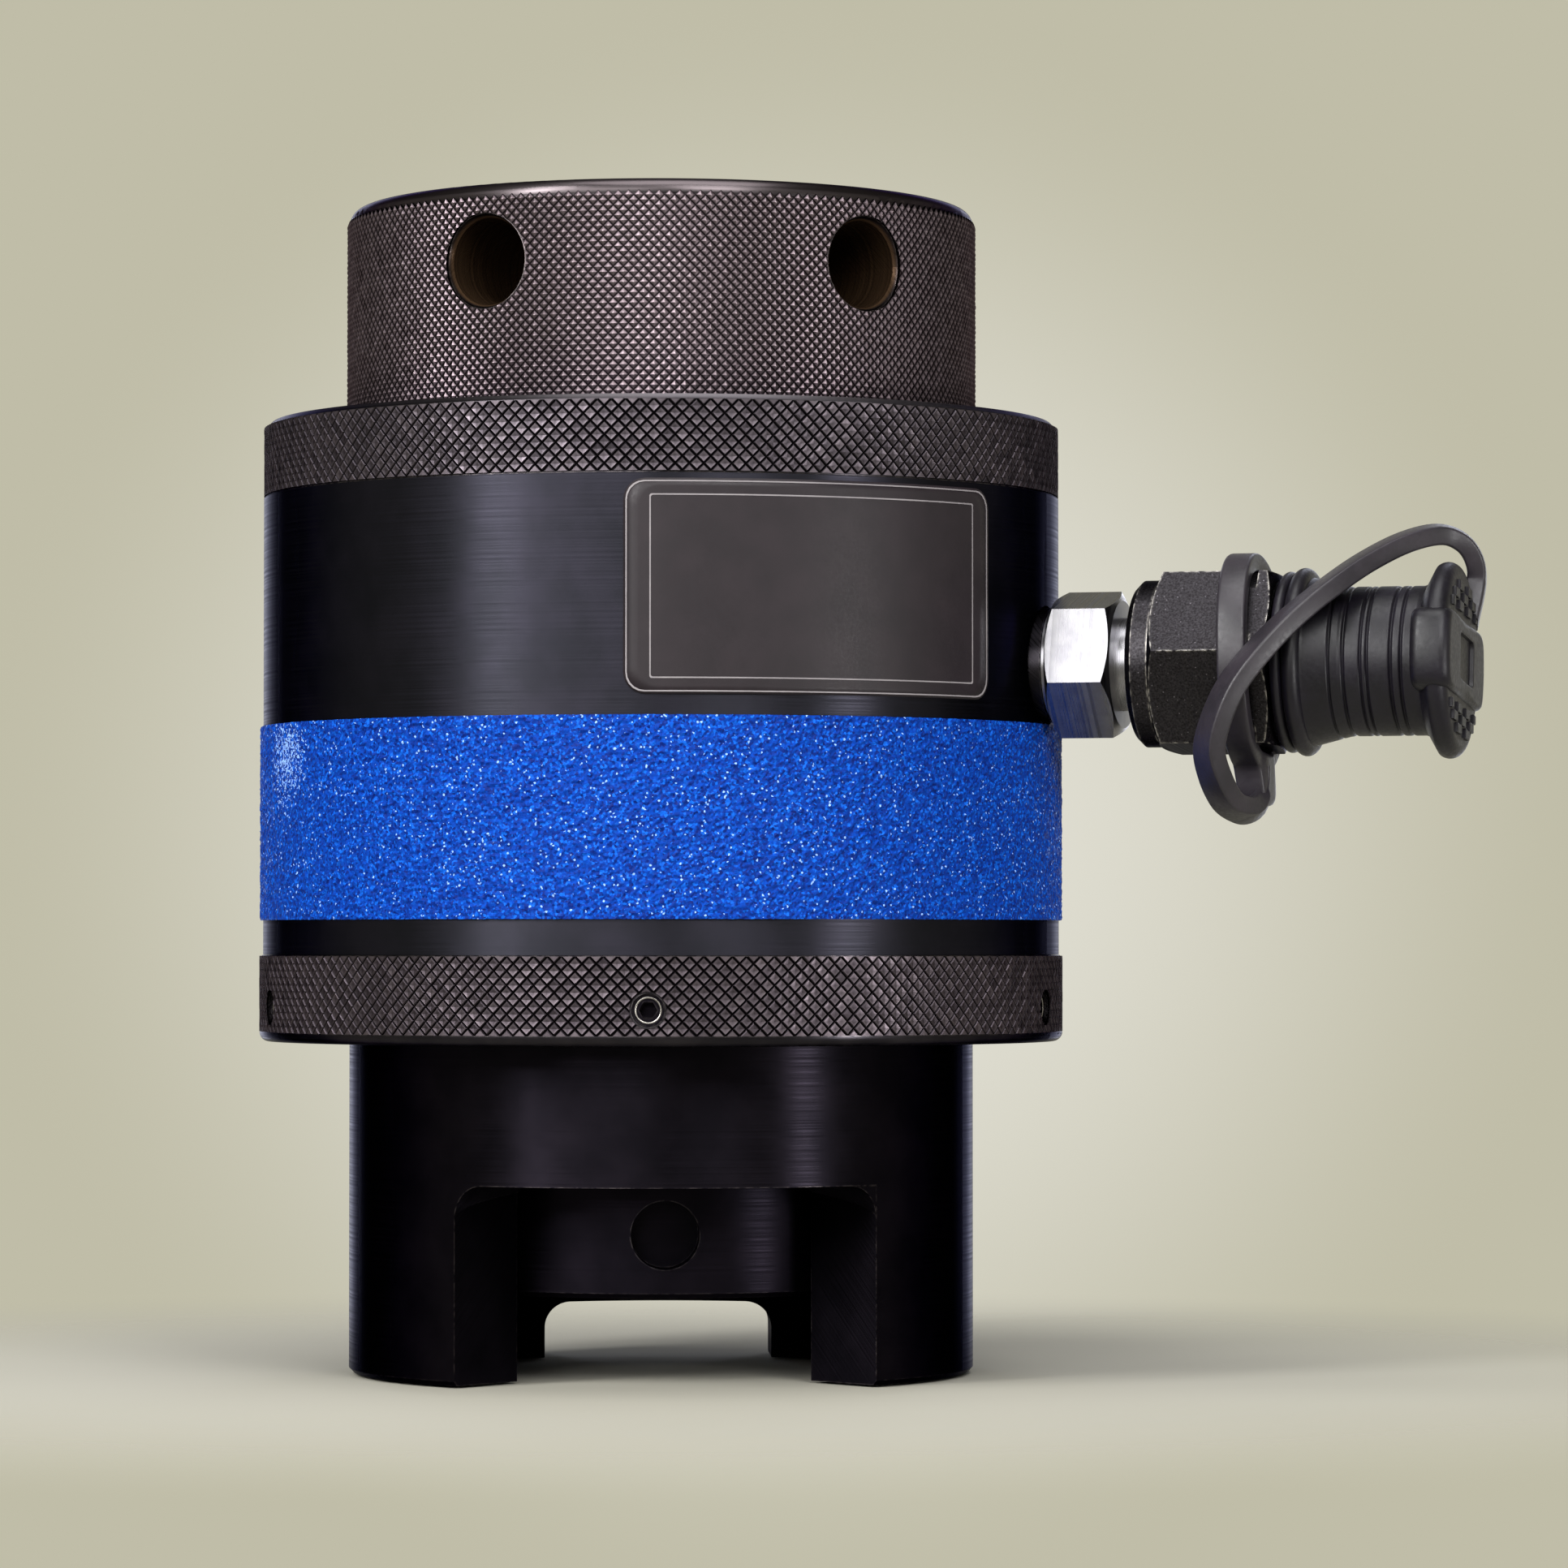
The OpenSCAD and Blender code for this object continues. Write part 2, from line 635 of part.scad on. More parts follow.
module port_adapter() {
    thread_r = port_thread_d / 2;
    color("#c8c8c8") on_port() difference() {
        union() {
            translate([0, 0, port_floor_x + loose_fit]) cylinder(r = thread_r, h = adapter_x - port_floor_x);
            translate([0, 0, shoulder_x]) cylinder(d = shoulder_d, h = shoulder_len + 1);
            translate([0, 0, adapter_x]) rotate([0, 0, adapter_turn]) hex_bar(adapter_af, adapter_len, hex_chamfer);
            translate([0, 0, adapter_x + 1]) cylinder(d = neck_d, h = adapter_len + neck_len - 1 - seat_fit);
            translate([0, 0, adapter_x + 1]) cylinder(d = thread_d, h = nipple_x + thread_reach - adapter_x - 1);
        }
        translate([0, 0, port_floor_x]) cylinder(d = passage_d, h = nipple_x + thread_reach - port_floor_x + over);
    }
}

module port_seal_washer() {
    color("#d0d0d0") on_port() ring(port_thread_d / 2 + seat_fit, washer_od / 2, spot_x + seat_fit / 2, washer_t);
}

module nipple_body() {
    collar_r = nipple_collar_d / 2;
    probe_r = probe_d / 2;
    hex_end = nipple_hex_len + nipple_collar_len;
    chamfer = 0.8;
    color("#222224") on_port() difference() {
        union() {
            turned([[0, nipple_x], [collar_r - chamfer, nipple_x], [collar_r, nipple_x + chamfer],
                [collar_r, nipple_hex_x + over], [0, nipple_hex_x + over]]);
            translate([0, 0, nipple_hex_x]) rotate([0, 0, nipple_turn])
                hex_bar(nipple_af, nipple_hex_len, hex_chamfer);
            turned([[0, nipple_hex_x], [probe_r, nipple_hex_x], [probe_r, lock_groove_x],
                [probe_r - lock_groove_depth, lock_groove_x + lock_groove_depth],
                [probe_r - lock_groove_depth, lock_groove_x + lock_groove_w],
                [probe_r, lock_groove_x + lock_groove_w + lock_groove_depth],
                [probe_r, probe_end_x - chamfer], [probe_r - chamfer, probe_end_x], [0, probe_end_x]]);
        }
        ring(tether_bore_r - seat_fit, nipple_af, tether_x - seat_fit, tether_ring_w + 2 * seat_fit);
        translate([0, 0, nipple_x - over]) cylinder(d = thread_d + 2 * seat_fit, h = seat_step_x - nipple_x + over);
        translate([0, 0, nipple_x]) cylinder(d = valve_bore, h = valve_step_x - nipple_x);
        translate([0, 0, nipple_x]) cylinder(d = valve_port_d, h = hex_end + probe_len + over);
    }
}

module spring_seat() {
    color("#8a8a8a") on_port() ring(passage_d / 2, thread_d / 2, seat_step_x - seat_fit - seat_disc_t, seat_disc_t);
}

module poppet_spring() {
    mean_r = valve_bore / 2 - poppet_wire / 2 - loose_fit;
    color("#b0b0b0") on_port() coil(mean_r, poppet_wire, seat_step_x, poppet_head_x - seat_step_x - seat_fit,
        7, sides = 6, steps = 12);
}

module tether_ring() {
    lug_z = tether_bore_r + loose_fit;
    color("#303032") on_port() union() {
        ring(tether_bore_r, ring_r, tether_x, tether_ring_w);
        translate([lug_z, -lug_w / 2, tether_x]) cube([ring_r + lug_drop - lug_z, lug_w, tether_ring_w]);
    }
}

module valve_poppet() {
    head_r = valve_bore / 2 - loose_fit * 2;
    nose_r = valve_port_d / 2 - run_fit * 2;
    stem_r = 1.4;
    color("#b8a060") on_port() turned([
        [0, poppet_head_x - poppet_stem_len], [stem_r, poppet_head_x - poppet_stem_len], [stem_r, poppet_head_x],
        [head_r, poppet_head_x], [head_r, poppet_head_x + poppet_head_t],
        [nose_r, poppet_head_x + poppet_head_t], [nose_r, probe_end_x - run_fit], [0, probe_end_x - run_fit]
    ]);
}

module poppet_seal() {
    color("#1c1c1c") on_port() ring(valve_port_d / 2 - run_fit, valve_bore / 2 - loose_fit * 2,
        poppet_head_x + poppet_head_t + seat_fit, poppet_seal_t);
}

module piston() {
    head_r = bore_r - run_fit;
    relief_r = head_r - relief_depth;
    groove_r = head_r - seal_depth;
    inner_r = shank_r + run_fit;
    foot_z = seat_z + skirt_clear;
    color("#8c8c90") turned([
        [inner_r, foot_z], [skirt_r - edge_break, foot_z], [skirt_r, foot_z + edge_break], [skirt_r, head_z],
        [relief_r, head_z], [relief_r, head_z + relief_h], [head_r, head_z + relief_h], [head_r, seal_z],
        [groove_r, seal_z], [groove_r, seal_z + seal_groove_h], [head_r, seal_z + seal_groove_h],
        [head_r, head_top_z], [hub_r, head_top_z], [hub_r, hub_top_z - edge_break],
        [hub_r - edge_break, hub_top_z], [inner_r, hub_top_z]
    ]);
}

module piston_seal() {
    color("#1f5c3a") ring(bore_r - run_fit - seal_depth + seat_fit, bore_r - seat_fit, seal_z + seat_fit / 2, seal_h);
}

module piston_backup_ring() {
    color("#d8d2c0") ring(bore_r - run_fit - seal_depth + seat_fit, bore_r - seat_fit,
        seal_z + seal_h + seat_fit, backup_h);
}

module return_spring() {
    color("#9a9a9a") coil(spring_r, spring_wire, head_top_z + seat_fit, cap_under_z - head_top_z - 2 * seat_fit,
        spring_turns);
}

module puller() {
    root_r = puller_od / 2 - knurl_depth;
    minor_r = thread_minor_d / 2;
    clear_r = clear_bore / 2;
    lead = 1.6;
    hole_z = puller_top_z - bar_hole_drop;
    mouth = 0.5;
    groove_r = shank_r - ring_depth;
    color("#2e2a2c") difference() {
        union() {
            rotate_extrude() round_edge_profile(shank_r - over, root_r, puller_z, puller_h, puller_round);
            turned([[0, shank_z], [shank_r - edge_break, shank_z], [shank_r, shank_z + edge_break],
                [shank_r, ring_z], [groove_r, ring_z], [groove_r, ring_z + ring_h], [shank_r, ring_z + ring_h],
                [shank_r, puller_top_z], [0, puller_top_z]]);
        }
        turned([[0, shank_z - over], [minor_r + lead + over, shank_z - over], [minor_r, shank_z + lead],
            [minor_r, shank_z + thread_len], [clear_r, shank_z + thread_len], [clear_r, puller_top_z - lead],
            [clear_r + lead + over, puller_top_z + over], [0, puller_top_z + over]]);
        for (i = [0:bar_hole_count - 1])
            facing(bar_hole_dir + i * 360 / bar_hole_count) translate([0, hole_z, 0]) {
                translate([0, 0, root_r - bar_hole_depth]) cylinder(d = bar_hole_d, h = bar_hole_depth + over);
                translate([0, 0, root_r - 2 * mouth])
                    cylinder(d1 = bar_hole_d, d2 = bar_hole_d + 4 * mouth, h = 2 * mouth + over);
            }
    }
}

module puller_o_ring() {
    color("#1c1c1c") ring(shank_r - ring_depth + seat_fit, shank_r + run_fit / 2,
        ring_z + seat_fit, ring_h - 2 * seat_fit);
}

module dust_cap() {
    bead_r = bead_d / 2;
    sleeve_r = sleeve_d / 2;
    inner_r = probe_d / 2 + run_fit * 2;
    bead_w = 3.7;
    taper = 4;
    rib = 0.35;
    rib_pitch = 2.4;
    rib_x = sleeve_x + bead_w + taper;
    rib_count = floor((disc_x - rib_x) / rib_pitch);
    edge = 2.6;
    band_depth = 0.6;
    recess_w = 6;
    recess_depth = 0.5;
    color("#343436") on_port() difference() {
        union() {
            rotate_extrude() {
                polygon(concat(
                    [[0, sleeve_x], [bead_r - 1, sleeve_x], [bead_r, sleeve_x + 1], [bead_r, sleeve_x + bead_w - 1],
                     [bead_r - 1, sleeve_x + bead_w], [sleeve_r, rib_x]],
                    [for (i = [0:rib_count - 1], s = [0.3, 0.5, 0.7])
                        [sleeve_r - (s == 0.5 ? rib : 0), rib_x + (i + s) * rib_pitch]],
                    [[sleeve_r, disc_x + over], [0, disc_x + over]]
                ));
                round_edge_profile(0, disc_r, disc_x, disc_t - band_depth, edge);
            }
            intersection() {
                rotate([0, 0, cap_turn]) translate([-bar_w / 2, -disc_r - bar_out, disc_x + bar_back])
                    cube([bar_w, disc_d + 2 * bar_out, disc_t - bar_back]);
                rotate_extrude() round_edge_profile(0, disc_r + bar_out, disc_x, disc_t, edge / 2);
            }
        }
        translate([0, 0, sleeve_x - over]) cylinder(r = inner_r, h = probe_end_x + loose_fit - sleeve_x + over);
        rotate([0, 0, cap_turn]) translate([-recess_w / 2, -recess_w / 2, disc_end_x - recess_depth])
            cube([recess_w, recess_w, recess_depth + over]);
    }
}

module tether_strap() {
    curve = route_curve(strap_route, strap_rings_per_leg);
    ts = tangents(curve);
    ns = carried([1, 0, 0], ts);
    points = [for (i = [0:len(curve) - 1])
        let (b = cross(ts[i], ns[i]))
        each [for (c = [[-1, -1], [1, -1], [1, 1], [-1, 1]])
            curve[i] + c[0] * strap_w / 2 * b + c[1] * strap_t / 2 * ns[i]]];
    color("#303032") translate([0, 0, port_z])
        polyhedron(points, tube_faces(len(curve) - 1, 4), convexity = 8);
}

bridge();
nut_socket();
socket_circlip();
color("#2c2a2c") cylinder_body();  // cylinder
spring_cap();
cap_wiper();
retaining_collar();
collar_set_screws();
grip_band();
rod_seal();
rod_backup_ring();
skirt_guide_ring();
port_adapter();
port_seal_washer();
nipple_body();
spring_seat();
poppet_spring();
tether_ring();
valve_poppet();
poppet_seal();
piston();
piston_seal();
piston_backup_ring();
return_spring();
puller();
puller_o_ring();
dust_cap();
tether_strap();
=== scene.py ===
"""Hydraulic bolt tensioner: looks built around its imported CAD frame.

Lengths in the classes are millimetres in the CAD frame; meshes are metres. A direction is in degrees
round the vertical axis, from the front (-Y) towards the coupling's side (+X).
"""

import json
import logging
import math
from dataclasses import dataclass
from enum import Enum

import bpy
import numpy as np
from bpy.types import Material, Node, NodeOutputs, NodeSocket, NodeTree, Object
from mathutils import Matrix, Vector


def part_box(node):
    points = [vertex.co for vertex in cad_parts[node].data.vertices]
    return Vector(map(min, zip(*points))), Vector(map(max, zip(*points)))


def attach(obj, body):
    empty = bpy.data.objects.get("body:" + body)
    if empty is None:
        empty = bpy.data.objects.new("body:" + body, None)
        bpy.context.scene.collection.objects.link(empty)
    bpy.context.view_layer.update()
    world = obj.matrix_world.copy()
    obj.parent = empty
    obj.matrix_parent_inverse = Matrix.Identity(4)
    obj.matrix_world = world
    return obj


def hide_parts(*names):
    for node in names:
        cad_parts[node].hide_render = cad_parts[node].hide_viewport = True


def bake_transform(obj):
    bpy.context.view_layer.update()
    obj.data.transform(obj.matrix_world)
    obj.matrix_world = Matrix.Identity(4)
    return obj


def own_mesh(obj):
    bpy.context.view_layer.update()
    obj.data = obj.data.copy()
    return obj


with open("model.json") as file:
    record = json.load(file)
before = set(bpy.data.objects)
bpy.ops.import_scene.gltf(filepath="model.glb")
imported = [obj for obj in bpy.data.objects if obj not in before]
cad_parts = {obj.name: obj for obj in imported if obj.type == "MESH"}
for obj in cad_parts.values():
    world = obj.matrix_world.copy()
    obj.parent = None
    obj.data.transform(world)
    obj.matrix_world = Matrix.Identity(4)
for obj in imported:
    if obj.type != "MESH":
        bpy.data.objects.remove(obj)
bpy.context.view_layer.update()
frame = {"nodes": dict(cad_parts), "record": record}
MM = 0.001
LOG = logging.getLogger("tensioner")
BODIES = frame["record"]["behaviour"]["bodies"]
NODE_BODY = {node: body for body, members in BODIES.items() for node in members}
# Height of the port's axis, mm, and the camera's direction, degrees
PORT_Z = 91.5
VIEW_DIR = 17.5
# A closed surface: its points, and its faces in one array for each number of corners
Surface = tuple[np.ndarray, list[np.ndarray]]


class Axis(Enum):
    """The axis a turned piece is turned about."""

    UPRIGHT = "z"
    PORT = "x"


@dataclass(frozen=True)
class HoleRow:
    """A row of evenly spaced radial holes: direction of the first, height, radius and number."""

    start: float
    height: float
    radius: float
    count: int

    def outward(self) -> np.ndarray:
        """One unit vector from the vertical axis through each hole."""
        turn = np.radians(self.start + np.arange(self.count) * 360 / self.count)
        return np.stack([np.sin(turn), -np.cos(turn), np.zeros(self.count)], axis=1)


TOMMY_HOLES = HoleRow(-15.5, 141.6, 6.1, 5)
SCREW_HOLES = HoleRow(15.7, 47.5, 2.3, 5)


# Arrays and meshes

def grid_faces(rows: int, cols: int, wrap_rows: bool = False) -> np.ndarray:
    """Number the quads of a rows by cols grid of points, whose last column joins the first.

    Args:
        rows: points along the first parameter.
        cols: points along the second parameter.
        wrap_rows: whether the last row joins the first.
    Returns:
        One row of four point numbers per quad.
    """
    i, j = np.meshgrid(np.arange(rows - (not wrap_rows)), np.arange(cols), indexing="ij")
    i, j = i.ravel(), j.ravel()
    k, m = (i + 1) % rows, (j + 1) % cols
    return np.stack([i * cols + j, i * cols + m, k * cols + m, k * cols + j], axis=1)


def turned_out(points: np.ndarray, faces: list[np.ndarray]) -> list[np.ndarray]:
    """Turn all faces round where the volume they enclose comes out negative.

    Args:
        points: one row per point.
        faces: arrays of point numbers, one array for each number of corners.
    Returns:
        The faces, pointing outwards.
    """
    volume = 0.0
    for block in faces:
        for corner in range(1, block.shape[1] - 1):
            a, b, c = points[block[:, 0]], points[block[:, corner]], points[block[:, corner + 1]]
            volume += float(np.einsum("ij,ij->i", a, np.cross(b, c)).sum())
    return [block[:, ::-1] for block in faces] if volume < 0 else faces


def piece(name: str, points: np.ndarray, faces: list[np.ndarray], smooth: bool = True) -> Object:
    """Make one object from a closed surface.

    Args:
        name: the piece's name.
        points: one row per point, in millimetres.
        faces: arrays of point numbers, one array for each number of corners.
        smooth: whether the faces are shaded smooth.
    Returns:
        The new object, at the origin.
    """
    faces = turned_out(points, faces)
    loops = np.concatenate([block.ravel() for block in faces]).astype(np.int32)
    counts = np.concatenate([np.full(len(block), block.shape[1]) for block in faces])
    starts = np.concatenate([[0], np.cumsum(counts)[:-1]]).astype(np.int32)
    mesh = bpy.data.meshes.new(name)
    mesh.vertices.add(len(points))
    mesh.vertices.foreach_set("co", (points * MM).astype(np.float32).ravel())
    mesh.loops.add(len(loops))
    mesh.loops.foreach_set("vertex_index", loops)
    mesh.polygons.add(len(starts))
    mesh.polygons.foreach_set("loop_start", starts)
    mesh.polygons.foreach_set("use_smooth", np.full(len(starts), smooth))
    mesh.update(calc_edges=True)
    mesh.validate()
    made = bpy.data.objects.new(name, mesh)
    bpy.context.scene.collection.objects.link(made)
    return made


def joined(parts: list[Surface]) -> Surface:
    """Put several closed surfaces into one, each turned outwards.

    Args:
        parts: the points and faces of each surface.
    Returns:
        The points and faces of all of them.
    """
    points, faces, start = [], [], 0
    for part_points, part_faces in parts:
        faces += [block + start for block in turned_out(part_points, part_faces)]
        points.append(part_points)
        start += len(part_points)
    return np.concatenate(points), faces


def around(along: np.ndarray, radius: np.ndarray, turn: np.ndarray,
           axis: Axis = Axis.UPRIGHT) -> np.ndarray:
    """Place points by their station, radius and angle about the upright axis or the port's axis.

    Args:
        along: station on the axis, mm.
        radius: distance from the axis, mm.
        turn: angle in radians; upright from the front towards +X, on the port from below towards the front.
        axis: which axis.
    Returns:
        An array with a last dimension of three coordinates.
    """
    along, radius, turn = np.broadcast_arrays(along, radius, turn)
    if axis is Axis.UPRIGHT:
        return np.stack([radius * np.sin(turn), -radius * np.cos(turn), along], axis=-1)
    return np.stack([along, -radius * np.sin(turn), PORT_Z - radius * np.cos(turn)], axis=-1)


def revolved(profile: np.ndarray, sides: int, axis: Axis) -> Surface:
    """Carry a closed profile of stations and radii once round an axis.

    Args:
        profile: rows of station and radius, a closed loop.
        sides: steps round the axis.
        axis: which axis.
    Returns:
        Points and faces of the ring.
    """
    turn = np.arange(sides) * 2 * np.pi / sides
    points = around(profile[:, :1], profile[:, 1:], turn[None, :], axis)
    return points.reshape(-1, 3), [grid_faces(len(profile), sides, wrap_rows=True)]


def capped(grid: np.ndarray) -> Surface:
    """Close a tube of rings at its first and its last ring, each with one flat face.

    Args:
        grid: rings by points by coordinates.
    Returns:
        Points and faces of the closed tube.
    """
    rings, count = grid.shape[:2]
    ends = np.stack([np.arange(count)[::-1], np.arange(count) + (rings - 1) * count])
    return grid.reshape(-1, 3), [grid_faces(rings, count), ends]


def along_path(path: np.ndarray) -> np.ndarray:
    """Unit vectors along a path, from the differences of its points."""
    tangent = np.gradient(path, axis=0)
    return tangent / np.linalg.norm(tangent, axis=1, keepdims=True)


def circle(radius: float, sides: int) -> np.ndarray:
    """Points of a circle about the origin, rows of two coordinates."""
    turn = np.linspace(0, 2 * np.pi, sides, endpoint=False)
    return np.stack([radius * np.cos(turn), radius * np.sin(turn)], axis=1)


def swept(path: np.ndarray, section: np.ndarray, first: np.ndarray,
          twist: np.ndarray | float = 0.0) -> Surface:
    """Carry a closed section along a path, with its ends closed flat.

    Each point is the path's point plus the section's two numbers times two directions square to the path.
    The first direction is the given one less its share along the path, turned by the twist.

    Args:
        path: points of the path, mm.
        section: rows of two numbers, a closed loop.
        first: the section's first direction at each path point.
        twist: extra turn about the path at each point, radians.
    Returns:
        Points and faces of the closed rod.
    """
    tangent = along_path(path)
    normal = first - tangent * np.sum(first * tangent, axis=1, keepdims=True)
    normal /= np.linalg.norm(normal, axis=1, keepdims=True)
    side = np.cross(tangent, normal)
    turn = np.broadcast_to(np.asarray(twist, float), (len(path),))[:, None]
    normal, side = normal * np.cos(turn) + side * np.sin(turn), side * np.cos(turn) - normal * np.sin(turn)
    return capped(path[:, None, :] + section[None, :, :1] * normal[:, None, :]
                  + section[None, :, 1:] * side[:, None, :])


def rounded_box(width: float, height: float, corner: float, steps: int = 6) -> np.ndarray:
    """Outline of a rectangle with quarter-circle corners, centred on the origin.

    Args:
        width: size along the first axis.
        height: size along the second axis.
        corner: radius of the corners.
        steps: points in each corner.
    Returns:
        Rows of two coordinates, a closed loop.
    """
    turn = (np.arange(4)[:, None] * 90 + np.linspace(0, 90, steps)[None, :]) * np.pi / 180
    sign = np.array([[1, 1], [-1, 1], [-1, -1], [1, -1]])[:, None, :]
    centre = sign * np.array([width / 2 - corner, height / 2 - corner])
    return (centre + corner * np.stack([np.cos(turn), np.sin(turn)], axis=-1)).reshape(-1, 2)


def filled_in(outline: np.ndarray, spacing: float) -> np.ndarray:
    """Add even points along the straight parts of an outline, at most the given spacing apart.

    Args:
        outline: rows of two coordinates, a closed loop.
        spacing: greatest distance between points.
    Returns:
        The outline with more points.
    """
    closed = np.vstack([outline, outline[:1]])
    length = np.concatenate([[0], np.cumsum(np.linalg.norm(np.diff(closed, axis=0), axis=1))])
    even = np.linspace(0, length[-1], int(length[-1] / spacing) + 1)[:-1]
    at = np.unique(np.concatenate([length[:-1], even]).round(5))
    least = 0.02
    at = at[np.concatenate([[True], np.diff(at) > least])]
    return np.stack([np.interp(at, length, closed[:, 0]), np.interp(at, length, closed[:, 1])], axis=1)


def smooth_path(points: np.ndarray, steps: int) -> np.ndarray:
    """A Catmull-Rom curve through points, resampled evenly along its length.

    Args:
        points: the points passed through.
        steps: points in the result.
    Returns:
        Evenly spaced points on the curve.
    """
    ext = np.vstack([2 * points[0] - points[1], points, 2 * points[-1] - points[-2]])
    per_span = 24
    t = np.linspace(0, 1, per_span, endpoint=False)[None, :, None]
    a, b, c, d = (ext[k:len(ext) - 3 + k, None, :] for k in range(4))
    curve = 0.5 * (2 * b + (c - a) * t + (2 * a - 5 * b + 4 * c - d) * t ** 2
                   + (3 * b - a - 3 * c + d) * t ** 3)
    curve = np.vstack([curve.reshape(-1, 3), points[-1:]])
    length = np.concatenate([[0], np.cumsum(np.linalg.norm(np.diff(curve, axis=0), axis=1))])
    even = np.linspace(0, length[-1], steps)
    return np.stack([np.interp(even, length, curve[:, k]) for k in range(3)], axis=1)


def with_holes(solid: Object, cutter: Object) -> None:
    """Cut one closed mesh out of another for good, and throw the cutter away.

    Args:
        solid: the piece that is cut.
        cutter: the closed mesh that is taken out of it.
    """
    cut = solid.modifiers.new("holes", "BOOLEAN")
    cut.operation, cut.solver, cut.object = "DIFFERENCE", "EXACT", cutter
    done = bpy.data.meshes.new_from_object(solid.evaluated_get(bpy.context.evaluated_depsgraph_get()))
    solid.modifiers.clear()
    old, solid.data = solid.data, done
    done.name = solid.name
    bpy.data.meshes.remove(old)
    bpy.data.meshes.remove(cutter.data)


# Finishes
# A MapRange node reads inputs 1 to 2 of its value and gives 3 to 4. A Mix node goes from 6 to 7 by 0.

def linear(code: str) -> tuple[float, float, float, float]:
    """Turn an sRGB hex colour into the linear colour a shader takes.

    Args:
        code: the colour as a hash and six digits.
    Returns:
        Red, green and blue in linear light, and an alpha of 1.
    """
    srgb = np.array([int(code[k:k + 2], 16) / 255 for k in (1, 3, 5)])
    light = np.where(srgb <= 0.04045, srgb / 12.92, ((srgb + 0.055) / 1.055) ** 2.4)
    return (*(float(v) for v in light), 1.0)


def put(tree: NodeTree, target: NodeSocket, value: object) -> None:
    """Link a socket from another one, or set its own value.

    Args:
        tree: the tree they are in.
        target: the input socket.
        value: an output socket or a plain value.
    """
    if isinstance(value, NodeSocket):
        tree.links.new(value, target)
    else:
        target.default_value = value


def add(tree: NodeTree, kind: str, inputs: dict | None = None, **settings: object) -> NodeOutputs:
    """Add one shader node.

    Args:
        tree: the tree it goes into.
        kind: the node's type without its ShaderNode prefix.
        inputs: socket name or number to a value, or to the socket that it is linked from.
        settings: the node's own settings.
    Returns:
        The new node's outputs.
    """
    node = tree.nodes.new("ShaderNode" + kind)
    for key, value in settings.items():
        setattr(node, key, value)
    for key, value in (inputs or {}).items():
        put(tree, node.inputs[key], value)
    return node.outputs


def blank(name: str) -> tuple[Material, NodeTree, Node, NodeSocket]:
    """Start a material.

    Args:
        name: the material's name.
    Returns:
        The material, its node tree, its shader and the Object coordinates.
    """
    material = bpy.data.materials.new(name)
    material.use_nodes = True
    tree = material.node_tree
    return material, tree, tree.nodes["Principled BSDF"], add(tree, "TexCoord")["Object"]


def set_all(tree: NodeTree, shader: Node, **inputs: object) -> None:
    """Set or link the shader's sockets.

    Args:
        tree: the material's tree.
        shader: its shader node.
        inputs: socket names, with underscores for spaces, and their values or sockets.
    """
    for key, value in inputs.items():
        put(tree, shader.inputs[key.replace("_", " ")], value)


def layered(tree: NodeTree, base: str, layers: list[tuple[NodeSocket, str | NodeSocket]]) -> NodeSocket:
    """Lay colours over a base colour one after another, each by its own share.

    Args:
        tree: the tree they are in.
        base: the lowest colour, hex.
        layers: the share and the colour of each layer, hex or a socket.
    Returns:
        The finished colour.
    """
    colour: object = linear(base)
    for share, tint in layers:
        over = linear(tint) if isinstance(tint, str) else tint
        colour = add(tree, "Mix", {0: share, 6: colour, 7: over}, data_type="RGBA")[2]
    return colour


def from_axis(tree: NodeTree, coords: NodeSocket) -> tuple[NodeOutputs, NodeSocket, NodeSocket]:
    """Read where a point lies from the vertical axis.

    Args:
        tree: the material's tree.
        coords: the Object coordinates.
    Returns:
        The three coordinates, the vector across the axis and its length.
    """
    place = add(tree, "SeparateXYZ", {0: coords})
    flat = add(tree, "CombineXYZ", {0: place[0], 1: place[1]})[0]
    return place, flat, add(tree, "VectorMath", {0: flat}, operation="LENGTH")["Value"]


